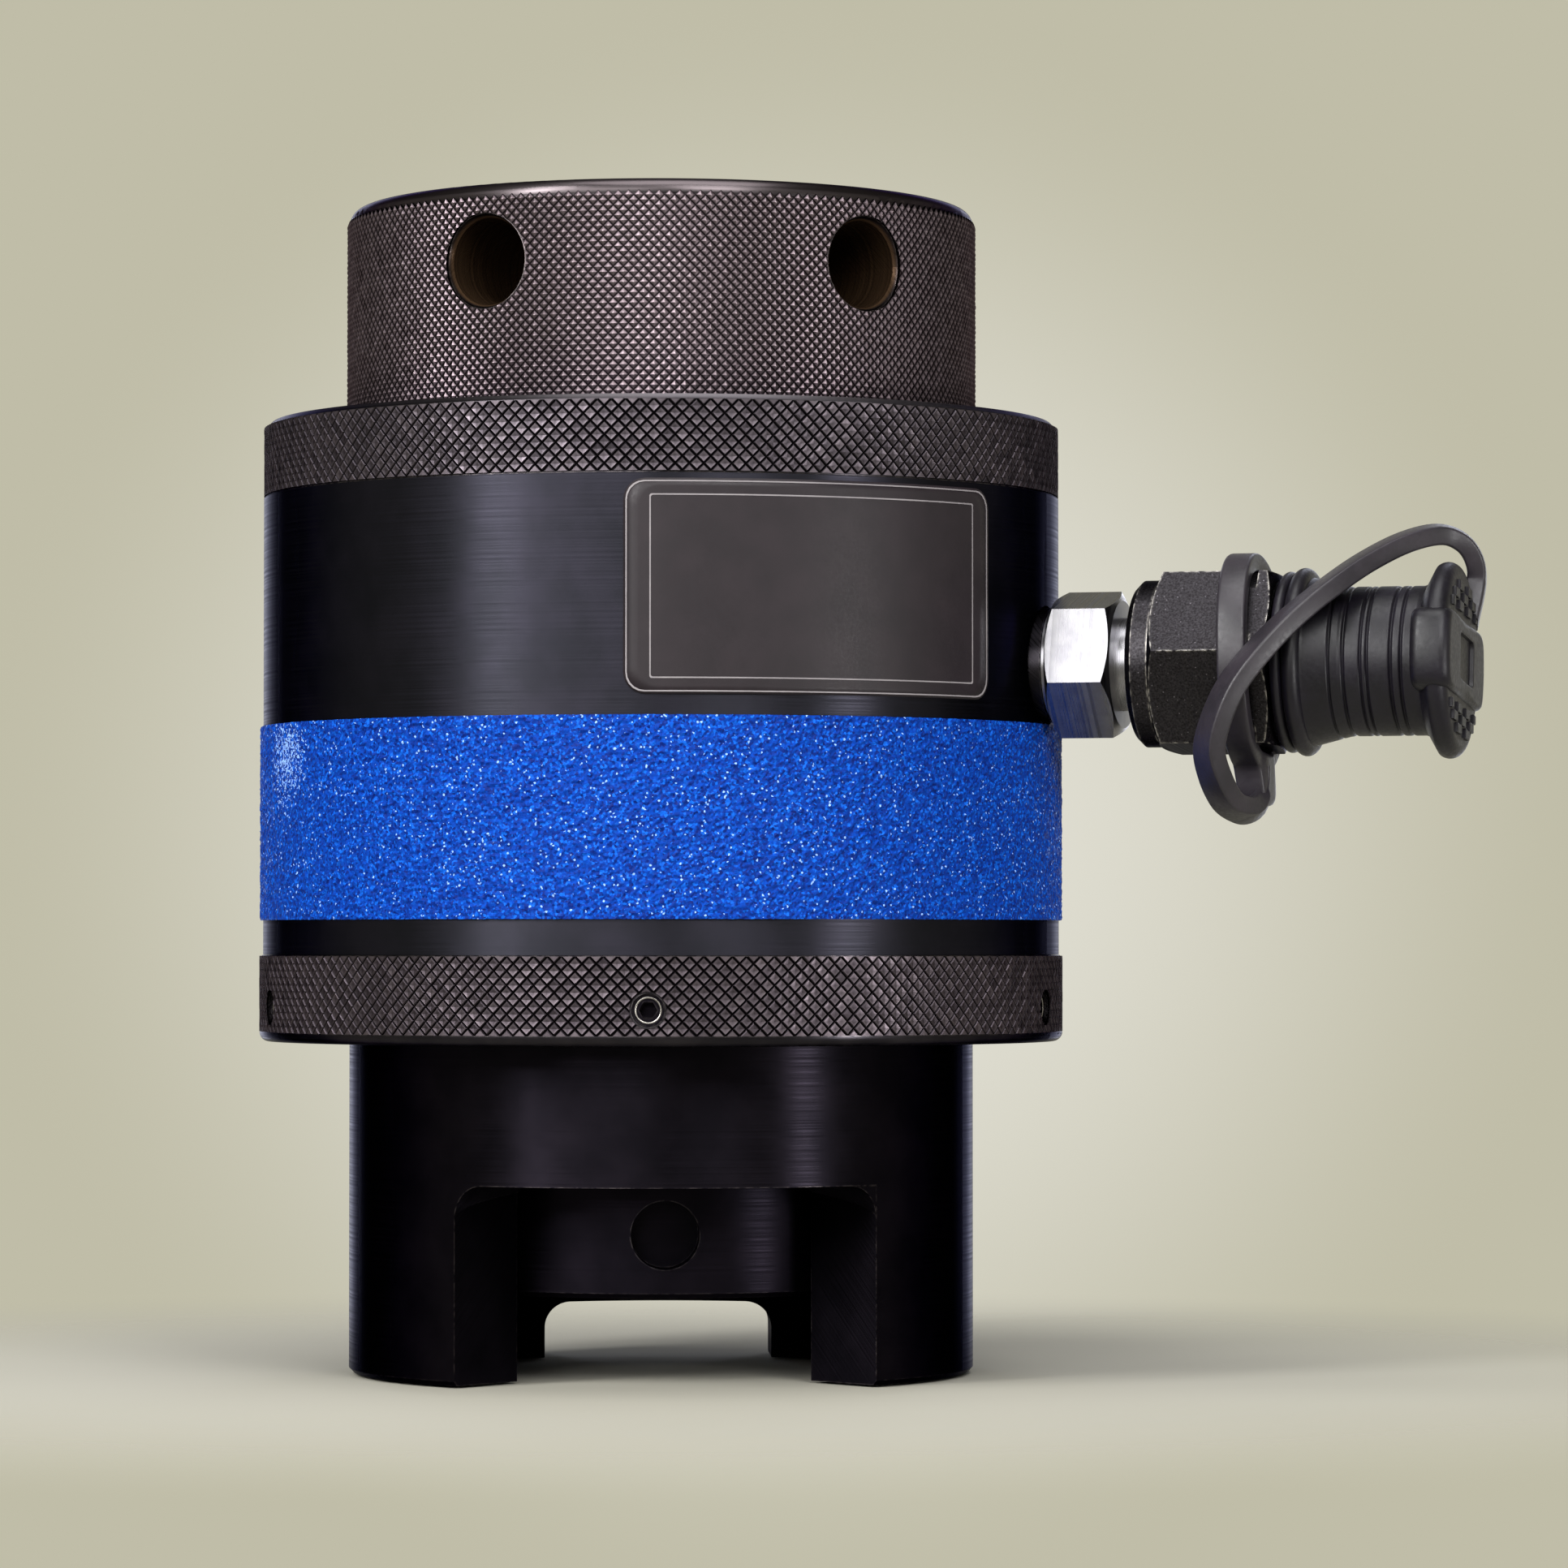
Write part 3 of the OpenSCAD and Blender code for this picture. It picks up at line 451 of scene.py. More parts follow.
@dataclass(frozen=True)
class TurnedSteel:
    """Turned steel: rings of tool marks with the height and radius, clouded by the finish laid over it.

    Real feed marks are 0.1 to 0.2 mm wide. They are drawn two or three times as coarse, so that they show.
    """

    name: str
    dark: str
    light: str
    roughness: float
    line_mm: float = 0.35
    line_height: float = 0.004
    cloud_mm: float = 7.0
    edge_tint: str = "#8c8c99"
    brushed: float = 0.5
    axis: Axis = Axis.UPRIGHT
    wear: str | None = None
    wear_mm: float = 0.35
    chip_mm: float = 0.8
    specks: str | None = None
    speck_mm: float = 0.45
    rim_from: float | None = None
    rim_rub_and_highlight: str = "#564f51"
    bores: HoleRow | None = None
    bore_tint: str = "#5c4632"
    bore_shade: str = "#120d0a"
    bore_from: float = 20.0
    bore_line_mm: float = 0.5

    def worn(self, tree: NodeTree, coords: NodeSocket) -> NodeSocket:
        """Edge wear: where a rounded normal leaves the face's own one, broken into chips by noise.

        Args:
            tree: the material's tree.
            coords: the Object coordinates.
        Returns:
            The share of rubbed metal.
        """
        rounded = add(tree, "Bevel", {"Radius": self.wear_mm * MM}, samples=6)[0]
        face = add(tree, "NewGeometry")["Normal"]
        agree = add(tree, "VectorMath", {0: rounded, 1: face}, operation="DOT_PRODUCT")["Value"]
        edge = add(tree, "MapRange", {0: agree, 1: 0.985, 2: 0.9})[0]
        chips = add(tree, "TexNoise", {"Vector": coords, "Scale": 1 / (self.chip_mm * MM), "Detail": 3.0})[0]
        chips = add(tree, "MapRange", {0: chips, 1: 0.4, 2: 0.62})[0]
        return add(tree, "Math", {0: edge, 1: chips}, operation="MULTIPLY")[0]

    def speckled(self, tree: NodeTree, coords: NodeSocket) -> NodeSocket:
        """Specks: the middles of three cells in ten, each with a random size.

        Args:
            tree: the material's tree.
            coords: the Object coordinates.
        Returns:
            One on a speck and nothing beside it.
        """
        cells = add(tree, "TexVoronoi", {"Vector": coords, "Scale": 1 / (self.speck_mm * MM)})
        chance = add(tree, "SeparateColor", {0: cells["Color"]})[0]
        size = add(tree, "MapRange", {0: chance, 1: 0.7, 2: 1.0, 3: 0.0, 4: 0.22})[0]
        return add(tree, "Math", {0: cells["Distance"], 1: size}, operation="LESS_THAN")[0]

    def in_bores(self, tree: NodeTree, place: NodeOutputs, radius: NodeSocket) -> NodeSocket:
        """Walls of the drilled holes: within their radius of the nearest hole's axis, outside the main bore.

        Args:
            tree: the material's tree.
            place: the three coordinates.
            radius: the distance from the vertical axis.
        Returns:
            The share of drilled wall.
        """
        row, step, soft = self.bores, 2 * math.pi / self.bores.count, 0.1
        forward = add(tree, "Math", {0: place[1], 1: -1.0}, operation="MULTIPLY")[0]
        turn = add(tree, "Math", {0: place[0], 1: forward}, operation="ARCTAN2")[0]
        turn = add(tree, "Math", {0: turn, 1: math.radians(row.start) - step / 2}, operation="SUBTRACT")[0]
        turn = add(tree, "Math", {0: turn, 1: step, 2: 0.0}, operation="WRAP")[0]
        turn = add(tree, "Math", {0: turn, 1: step / 2}, operation="SUBTRACT")[0]
        sine = add(tree, "Math", {0: turn}, operation="SINE")[0]
        aside = add(tree, "Math", {0: sine, 1: radius}, operation="MULTIPLY")[0]
        rise = add(tree, "Math", {0: place[2], 1: row.height * MM}, operation="SUBTRACT")[0]
        off = add(tree, "CombineXYZ", {0: aside, 1: rise})[0]
        off = add(tree, "VectorMath", {0: off}, operation="LENGTH")["Value"]
        inside = add(tree, "MapRange", {0: off, 1: (row.radius + soft) * MM, 2: (row.radius - soft) * MM})[0]
        deep = add(tree, "MapRange", {0: radius, 1: (self.bore_from - 1.0) * MM, 2: self.bore_from * MM})[0]
        return add(tree, "Math", {0: inside, 1: deep}, operation="MULTIPLY")[0]

    def material(self) -> Material:
        """Build the material: tool marks from noise along height plus radius, clouds from noise in space.

        Returns:
            The material.
        """
        material, tree, shader, coords = blank(self.name)
        place, flat, radius = from_axis(tree, coords)
        along = place[0]
        if self.axis is Axis.UPRIGHT:
            along = add(tree, "Math", {0: place[2], 1: radius}, operation="ADD")[0]
        marks = add(tree, "TexNoise", {"W": along, "Scale": 1 / (self.line_mm * MM), "Detail": 2.0},
                    noise_dimensions="1D")[0]
        cloud = add(tree, "TexNoise", {"Vector": coords, "Scale": 1 / (self.cloud_mm * MM), "Detail": 4.0})[0]
        layers = [(add(tree, "MapRange", {0: cloud, 1: 0.35, 2: 0.65})[0], self.light)]
        if self.wear:
            layers.append((self.worn(tree, coords), self.wear))
        if self.specks:
            layers.append((self.speckled(tree, coords), self.specks))
        # Paler band round the top rim: partly rubbed metal, partly a painted highlight
        if self.rim_from:
            rim = add(tree, "MapRange", {0: place[2], 1: (self.rim_from - 0.1) * MM,
                                         2: (self.rim_from + 0.4) * MM})[0]
            layers.append((rim, self.rim_rub_and_highlight))
        metal: float | NodeSocket = 1.0
        # Walls of drilled holes: brown oil with machining rings on the puller; on the socket, near black as
        # painted shade
        if self.bores:
            inside = self.in_bores(tree, place, radius)
            streak = add(tree, "TexNoise", {"W": radius, "Scale": 1 / (self.bore_line_mm * MM),
                                            "Detail": 2.0}, noise_dimensions="1D")[0]
            layers.append((inside, layered(tree, self.bore_shade, [(streak, self.bore_tint)])))
            metal = add(tree, "MapRange", {0: inside, 3: 1.0, 4: 0.6})[0]
        gloss = add(tree, "MapRange", {0: marks, 1: 0.3, 2: 0.7, 3: self.roughness - 0.06,
                                       4: self.roughness + 0.07})[0]
        bump = add(tree, "Bump", {"Height": marks, "Strength": 1.0, "Distance": self.line_height * MM})[0]
        across = add(tree, "VectorMath", {0: flat}, operation="NORMALIZE")[0]
        across = add(tree, "VectorMath", {0: across, 1: (0.0, 0.0, 1.0)}, operation="ADD")[0]
        set_all(tree, shader, Base_Color=layered(tree, self.dark, layers), Metallic=metal, Roughness=gloss,
                Normal=bump, Tangent=across, Anisotropic=self.brushed, Specular_Tint=linear(self.edge_tint))
        return material


@dataclass(frozen=True)
class KnurledSteel:
    """Rolled knurl under black oxide: the raised faces are rubbed paler and warmer than the grooves and
    lightened further as painted light; the grooves are painted near black as shade, and the crest edges are
    paler partly from rubbing and partly as a painted highlight.
    """

    name: str
    groove: str
    face: str
    edge: str
    root_mm: float
    crest_mm: float
    roughness: float = 0.4
    speck_mm: float = 0.9
    edge_tint: str = "#5a5258"

    def material(self) -> Material:
        """Build the material: painted shade in the groove, the face, and an edge of rubbing and painted
        highlight, by the distance from the axis, speckled by noise.

        Returns:
            The material.
        """
        material, tree, shader, coords = blank(self.name)
        radius = from_axis(tree, coords)[2]
        height = add(tree, "MapRange", {0: radius, 1: self.root_mm * MM, 2: self.crest_mm * MM})[0]
        speck = add(tree, "TexNoise", {"Vector": coords, "Scale": 1 / (self.speck_mm * MM), "Detail": 3.0})[0]
        speck = add(tree, "MapRange", {0: speck, 1: 0.3, 2: 0.7, 3: 0.55, 4: 1.0})[0]
        # Painted shade: black grooves; rubbing with painted light: the paler faces, and paler still the crest
        # edges
        out = add(tree, "MapRange", {0: height, 1: 0.0, 2: 0.5})[0]
        worn = add(tree, "MapRange", {0: height, 1: 0.72, 2: 1.0, 4: speck})[0]
        gloss = add(tree, "MapRange", {0: speck, 1: 0.55, 2: 1.0, 3: self.roughness + 0.08,
                                       4: self.roughness - 0.05})[0]
        set_all(tree, shader, Base_Color=layered(tree, self.groove, [(out, self.face), (worn, self.edge)]),
                Metallic=1.0, Roughness=gloss, Specular_Tint=linear(self.edge_tint))
        return material


@dataclass(frozen=True)
class Moulded:
    """Moulded rubber or plastic: an even, slightly clouded colour with a fine skin."""

    name: str
    dark: str
    light: str
    roughness: float
    skin_mm: float = 0.5
    skin_height: float = 0.015
    cloud_mm: float = 5.0
    gleam: float = 0.5

    def material(self) -> Material:
        """Build the material: clouds of dust over the colour, a fine skin as bump and as gloss.

        Returns:
            The material.
        """
        material, tree, shader, coords = blank(self.name)
        cloud = add(tree, "TexNoise", {"Vector": coords, "Scale": 1 / (self.cloud_mm * MM), "Detail": 5.0})[0]
        cloud = add(tree, "MapRange", {0: cloud, 1: 0.35, 2: 0.7})[0]
        skin = add(tree, "TexNoise", {"Vector": coords, "Scale": 1 / (self.skin_mm * MM), "Detail": 3.0})[0]
        gloss = add(tree, "MapRange", {0: skin, 1: 0.3, 2: 0.7, 3: self.roughness - 0.06,
                                       4: self.roughness + 0.08})[0]
        bump = add(tree, "Bump", {"Height": skin, "Strength": 1.0, "Distance": self.skin_height * MM})[0]
        set_all(tree, shader, Base_Color=layered(tree, self.dark, [(cloud, self.light)]), Roughness=gloss,
                Normal=bump, Specular_IOR_Level=self.gleam)
        return material


@dataclass(frozen=True)
class GritTape:
    """Anti-slip tape: mineral grit under blue lacquer, with pale grains, partly bare grit and partly painted
    glints, and a rubbed patch.

    Real grit of this grade is about 0.2 mm across. Its grains are drawn half as large again, so that they
    show.
    """

    name: str
    grain_mm: float = 0.3
    spark_mm: float = 0.22
    rub_mm: float = 1.6
    bump_mm: float = 0.25
    bump_height: float = 0.08
    gleam: float = 0.1
    deep: str = "#011b68"
    blue: str = "#0241aa"
    bright: str = "#0c5fcf"
    bare: str = "#8fb4f2"
    patch_dir: float = -48.5
    patch_z: float = 79.0
    patch_r: float = 52.4
    patch_mm: float = 8.0

    def material(self) -> Material:
        """Build the material: one random shade per grain from cell noise; the palest grains are bare grit and
        painted glints.

        More grains are bare near the rubbed patch, by their distance from its middle times noise.

        Returns:
            The material.
        """
        material, tree, shader, coords = blank(self.name)
        grain = add(tree, "TexVoronoi", {"Vector": coords, "Scale": 1 / (self.grain_mm * MM)})["Color"]
        shade = add(tree, "SeparateColor", {0: grain})
        lit = add(tree, "MapRange", {0: shade[1], 1: 0.72, 2: 0.95})[0]
        centre = around(np.array(self.patch_z), np.array(self.patch_r), np.radians(self.patch_dir)) * MM
        away = add(tree, "VectorMath", {0: coords, 1: tuple(centre)}, operation="DISTANCE")["Value"]
        near = add(tree, "MapRange", {0: away, 1: self.patch_mm * MM, 2: 0.2 * self.patch_mm * MM})[0]
        cloud = add(tree, "TexNoise", {"Vector": coords, "Scale": 1 / (self.rub_mm * MM), "Detail": 3.0})[0]
        rub = add(tree, "Math", {0: near, 1: cloud}, operation="MULTIPLY")[0]
        limit = add(tree, "MapRange", {0: rub, 1: 0.1, 2: 0.6, 3: 0.98, 4: 0.5})[0]
        spark = add(tree, "TexVoronoi", {"Vector": coords, "Scale": 1 / (self.spark_mm * MM)})["Color"]
        chance = add(tree, "SeparateColor", {0: spark})[2]
        # Pale grains: bare grit worn through the lacquer, standing also as painted glints
        bare = add(tree, "Math", {0: chance, 1: limit}, operation="GREATER_THAN")[0]
        colour = layered(tree, self.deep, [(shade[0], self.blue), (lit, self.bright), (bare, self.bare)])
        gloss = add(tree, "MapRange", {0: shade[0], 3: 0.45, 4: 0.8})[0]
        fine = add(tree, "TexNoise", {"Vector": coords, "Scale": 1 / (self.bump_mm * MM), "Detail": 2.0})[0]
        bump = add(tree, "Bump", {"Height": fine, "Strength": 1.0, "Distance": self.bump_height * MM})[0]
        set_all(tree, shader, Base_Color=colour, Roughness=gloss, Normal=bump, Specular_IOR_Level=self.gleam)
        return material


class Finish(Enum):
    """Every finish on the tensioner, as the surface was made; several also carry painted light and shade, as
    their comments say.
    """

    # Turned steel with hot black oxide and oil: near black, a satin streak down the side of each lamp
    BODY = TurnedSteel("turned_black_oxide", "#29292f", "#2f2e36", 0.42, line_height=0.005, brushed=0.75)
    # The same on the bridge, darkened below the body's black as painted shade, its edges rubbed grey
    BRIDGE = TurnedSteel("bridge_black_oxide_painted_shade", "#151318", "#1c191f", 0.38, brushed=0.75, wear="#4a4446",
                         wear_mm=0.3)
    # Black oxide with a top rim paler partly from rubbing and partly as a painted highlight; the drilled
    # holes keep brown oil
    PULLER = TurnedSteel("puller_black_oxide", "#2b2829", "#373234", 0.3, wear="#6a6262", wear_mm=0.3,
                         rim_from=149.7, bores=HoleRow(-15.5, 141.6, 5.75, 5))
    # Black oxide on the rings, glossier, the upper rim paler partly from rubbing and partly as a painted
    # highlight
    RINGS = TurnedSteel("ring_black_oxide", "#28262a", "#353236", 0.3, wear="#5a5557", wear_mm=0.3,
                        rim_from=122.85, rim_rub_and_highlight="#5a5659")
    # Black oxide darkened as painted shade, for the socket under the bridge and for the screws and thread in
    # their bores: dull and dark, with near-black painted shade in its drilled holes
    SOCKET = TurnedSteel("socket_black_oxide_painted_shade", "#110f14", "#17141a", 0.4, wear="#3a3638",
                         bores=HoleRow(18.5, 18.8, 4.3, 6), bore_tint="#070608", bore_shade="#030204",
                         bore_from=23.0)
    # Rolled diamonds: grooves painted black as shade; faces rubbed brown by hands and lightened as painted
    # light; edges paler still, partly rubbed and partly a painted highlight. The puller's faces and edges are
    # paler than the rings', with more painted light
    RING_KNURL = KnurledSteel("rolled_knurl_rings", "#0a090a", "#413c41", "#6b6369", 51.77, 52.0)
    COLLAR_KNURL = KnurledSteel("rolled_knurl_collar", "#0a090a", "#413b40", "#6c6369", 52.27, 52.5)
    PULLER_KNURL = KnurledSteel("rolled_knurl_puller_painted_light", "#0a0809", "#6f6368", "#92858a", 40.99, 41.2)
    # Ground steel: bright and even under very fine lines
    GROUND = TurnedSteel("ground_steel", "#8d8c8a", "#a3a2a0", 0.22, 0.2, 0.001, edge_tint="#ffffff")
    # Drawn wire: grey with a soft shine
    WIRE = TurnedSteel("drawn_spring_wire", "#6e6c6a", "#8b8885", 0.3, 0.3, 0.001, edge_tint="#ffffff")
    # Zinc plate over milled flats: silver, streaked where it mirrors the lamps
    ZINC = TurnedSteel("bright_zinc_plate", "#8c8b90", "#99989b", 0.28, 0.6, 0.0009, 2.0, edge_tint="#ffffff",
                       brushed=0.0, axis=Axis.PORT)
    # Black phosphate: a grainy black skin with pale specks, chipped bright along the hexagon's edges
    NIPPLE = TurnedSteel("black_phosphate", "#252325", "#3c3a3d", 0.36, 0.6, 0.002, 0.25, wear="#c9c4bd",
                         wear_mm=0.45, brushed=0.0, axis=Axis.PORT, specks="#77737a")
    # Black screws rubbed bright on their rims by keys
    SCREW = TurnedSteel("worn_black_screw", "#8a8682", "#b2aea8", 0.28, 0.3, 0.002, 1.0, edge_tint="#ffffff")
    # Turned brass: warm yellow with fine rings
    BRASS = TurnedSteel("turned_brass", "#a98a4c", "#bf9f5e", 0.28, 0.3, 0.002, edge_tint="#ffffff",
                        brushed=0.0, axis=Axis.PORT)
    # Lacquered grit: a rough blue whose sparkle is pale grains, partly bare grit and partly painted glints
    TAPE = GritTape("blue_grit_tape")
    # Moulded rubber: near black, darkened further as painted shade, with a soft sheen on its rounded edges
    CAP_RUBBER = Moulded("moulded_cap_rubber_painted_shade", "#0b090f", "#15111b", 0.42, gleam=0.38)
    # The tether's rubber, paler and greyer than the cap's, partly with dust and partly as painted light
    TETHER_RUBBER = Moulded("moulded_tether_rubber_dust_and_painted_light", "#221f24", "#2f2a30", 0.42)
    # Moulded nitrile seals: an even, dull black
    SEAL_RUBBER = Moulded("nitrile_rubber", "#1d1c1d", "#262526", 0.5)
    # Cast polyurethane seals: a waxy green
    SEAL_URETHANE = Moulded("cast_polyurethane", "#3d6a3a", "#4a7a45", 0.4)
    # Turned acetal: satin ivory
    BACKUP = Moulded("turned_acetal", "#d8d4c8", "#e2dfd4", 0.45)
    # Cut phenolic strip: dull brown
    GUIDE = Moulded("phenolic_strip", "#6b4a2c", "#7d5935", 0.55)
    # Anodised label stock: dark and satin, almost even
    LABEL = Moulded("anodised_label_plate", "#1d171b", "#241d21", 0.45, 0.3, 0.003, gleam=0.3)
    # Printed ink: pale grey and dull
    PRINT = Moulded("printed_line", "#7f797b", "#918b8c", 0.55)


NODE_FINISH = {
    "bridge": Finish.BRIDGE, "nut_socket": Finish.SOCKET, "socket_circlip": Finish.WIRE,
    "cylinder": Finish.BODY, "spring_cap": Finish.RINGS, "cap_wiper": Finish.SEAL_URETHANE,
    "retaining_collar": Finish.RINGS, "collar_set_screws": Finish.SOCKET, "rod_seal": Finish.SEAL_URETHANE,
    "rod_backup_ring": Finish.BACKUP, "skirt_guide_ring": Finish.GUIDE, "port_adapter": Finish.ZINC,
    # The seal washer wears the rings' dark black oxide as painted shade: it stands for the shaded neck
    # between the body and the zinc hexagon
    "port_seal_washer": Finish.RINGS, "nipple_body": Finish.NIPPLE, "spring_seat": Finish.BRASS,
    "valve_poppet": Finish.BRASS, "poppet_seal": Finish.SEAL_RUBBER, "piston": Finish.GROUND,
    "piston_seal": Finish.SEAL_URETHANE, "piston_backup_ring": Finish.BACKUP, "puller": Finish.PULLER,
    "puller_o_ring": Finish.SEAL_RUBBER,
}
MADE: dict[Finish, Material] = {}


def dress(target: Object, finish: Finish) -> None:
    """Give an object one finish, made the first time that it is asked for.

    Args:
        target: the piece or CAD node.
        finish: its finish.
    """
    if finish not in MADE:
        MADE[finish] = finish.value.material()
    target.data.materials.clear()
    target.data.materials.append(MADE[finish])


def settle(made: Object, finish: Finish, body: str, slot: str, *nodes: str) -> None:
    """Dress a new piece, let it ride on its body, hide the CAD nodes it replaces and log it.

    Args:
        made: the new piece.
        finish: its finish.
        body: the body that carries it.
        slot: the record's material slot; not used.
        nodes: CAD nodes that it replaces.
    """
    dress(made, finish)
    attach(made, body)
    if nodes:
        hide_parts(*nodes)
    LOG.info("%s: %d points, rides on %s", made.name, len(made.data.vertices), body)


# Sub-assemblies

@dataclass
class KnurlSleeve:
    """A rolled diamond knurl laid over a turned ring.

    Diamonds stand in rows half a diamond apart. A diamond is a low pyramid with a flat top: its four outer
    corners lie at the root radius and the four inner ones, drawn in to the flat share, at the crest radius.
    Heights and flats scatter at random, crests stay shy of the crest radius and the end rows rise a little.
    """

    name: str
    carrier: str
    finish: Finish
    root: float
    crest: float
    low: float
    high: float
    count: int
    flat: float
    dimple: float = 0.0
    zigzag_top: bool = False
    holes: HoleRow | None = None
    backing: float = 0.45
    scatter: float = 0.06
    flat_scatter: float = 0.4
    shy: float = 0.02
    end_rise: float = 0.01
    seed: int = 3

    def surface(self) -> Surface:
        """Lay out all diamonds at once and close the sleeve with end rings and a back wall.

        Returns:
            Points and faces.
        """
        n, step = self.count, math.pi / self.count
        rise = self.root * step
        rows = int((self.high - self.low) / rise)
        top = math.inf
        if not self.zigzag_top:
            rise, top = (self.high - self.low) / rows, self.high
        y = np.arange(-1, rows + 2)[:, None]
        x = 2 * np.arange(n)[None, :] + (y + 1) % 2
        corners = around(np.clip(self.low + y * rise, self.low, top), self.root, x * step)
        j, i = np.meshgrid(np.arange(rows + 1), np.arange(n), indexing="ij")
        c = 2 * i + j % 2
        jitter = np.random.default_rng(self.seed).normal(0, self.scatter, c.shape)
        flat = np.clip(self.flat + jitter * self.flat_scatter, 0.05, 0.9)
        high = self.crest + jitter * (self.crest - self.root) - self.shy

        def inner(dx: int, dy: int) -> np.ndarray:
            """Points of all flats on one side."""
            z = np.clip(self.low + (j + dy * flat) * rise, self.low, top)
            return around(z, high, (c + dx * flat) * step)

        tops = np.stack([inner(-1, 0), inner(0, -1), inner(1, 0), inner(0, 1)], axis=2)
        dip = np.where((j == 0) | (j == rows), -self.end_rise, self.dimple)
        centre = around(np.clip(self.low + j * rise, self.low, top), high - dip, c * step)
        base = corners.size // 3
        cells = c.size
        top_at = (base + 4 * np.arange(cells).reshape(c.shape))[..., None] + np.arange(4)
        middle = base + 4 * cells + np.arange(cells).reshape(c.shape)

        def corner(cx: np.ndarray, cy: np.ndarray) -> np.ndarray:
            """Numbers of shared corners."""
            return (cy + 1) * n + (cx % (2 * n)) // 2

        outer = np.stack([corner(c - 1, j), corner(c, j - 1), corner(c + 1, j), corner(c, j + 1)], axis=-1)
        nxt = np.roll(np.arange(4), -1)
        sides = np.stack([outer, outer[..., nxt], top_at[..., nxt], top_at], axis=-1).reshape(-1, 4)
        caps = np.stack([top_at, top_at[..., nxt], np.broadcast_to(middle[..., None], top_at.shape)],
                        axis=-1).reshape(-1, 3)
        k = np.arange(2 * n)
        low_loop = corner(k, np.where(k % 2 == 0, -1, 0))
        up_row = np.where((k + rows) % 2 == 0, rows + 1, rows)
        high_loop = corner(k, up_row)
        wall = self.root - self.backing
        back_low = around(np.full(2 * n, self.low), wall, k * step)
        back_high = around(np.clip(self.low + up_row * rise, self.low, top), wall, k * step)
        points = np.concatenate([corners.reshape(-1, 3), tops.reshape(-1, 3), centre.reshape(-1, 3), back_low,
                                 back_high])
        first = base + 5 * cells
        rings = [low_loop, first + k, first + 2 * n + k, high_loop]
        closing = [np.stack([a, np.roll(a, -1), np.roll(b, -1), b], axis=1) for a, b in zip(rings, rings[1:])]
        return points, [np.concatenate([sides] + [quads[:, ::-1] for quads in closing]), caps]

    def build(self) -> None:
        """Make the sleeve, cut its holes and let it ride with the ring under it."""
        made = piece(self.name, *self.surface(), smooth=False)
        if self.holes:
            beyond = 3
            reach = np.linspace(self.root - beyond, self.crest + beyond, 3)[:, None]
            section, up = circle(self.holes.radius, 40), np.tile([0.0, 0.0, 1.0], (3, 1))
            paths = [out * reach + [0, 0, self.holes.height] for out in self.holes.outward()]
            rods = [swept(path, section, up) for path in paths]
            with_holes(made, piece(self.name + "_cutter", *joined(rods), smooth=False))
        settle(made, self.finish, NODE_BODY[self.carrier], "black_steel")


@dataclass
class GripTape:
    """Blue anti-slip tape round the body: a sleeve whose outside is a grid of random grit heights."""

    low: float = 58.7
    high: float = 83.9
    inner: float = 52.03
    outer: float = 52.3
    grit: float = 0.3
    grit_power: float = 1.6
    grit_rest: float = 0.25
    own_share: float = 0.7
    edge_low: float = 0.4
    edge_mm: float = 0.6
    ragged: float = 0.05
    around_steps: int = 900
    up_steps: int = 66
    seed: int = 11

    def build(self) -> None:
        """Make the sleeve: its radius is the tape's own plus a random height for each grain.

        A power leaves few grains standing high. Each height is mixed a little with its neighbours', and falls
        off towards the tape's two cut edges, which wander at random.
        """
        rng = np.random.default_rng(self.seed)
        height = rng.random((self.up_steps, self.around_steps)) ** self.grit_power
        beside = np.roll(height, 1, 1) + np.roll(height, -1, 1)
        height = self.own_share * height + (1 - self.own_share) / 2 * beside
        z = np.linspace(self.low, self.high, self.up_steps)[:, None]
        edge = np.minimum(z - self.low, self.high - z)
        fall = np.clip(self.edge_low + edge / self.edge_mm, 0, 1)
        radius = self.outer + self.grit * (height - self.grit_rest) * fall
        wander = self.ragged * rng.random((2, self.around_steps))
        turn = np.arange(self.around_steps)[None, :] * 2 * np.pi / self.around_steps
        z = np.broadcast_to(z, radius.shape).copy()
        z[0], z[-1] = z[0] + wander[0], z[-1] - wander[1]
        skin = around(z, radius, turn)
        inner = around(z[[-1, 0]], self.inner, turn)
        points = np.concatenate([skin, inner]).reshape(-1, 3)
        made = piece("grip_tape", points, [grid_faces(self.up_steps + 2, self.around_steps, wrap_rows=True)],
                     smooth=False)
        settle(made, Finish.TAPE, NODE_BODY["grip_band"], "grip_tape", "grip_band")


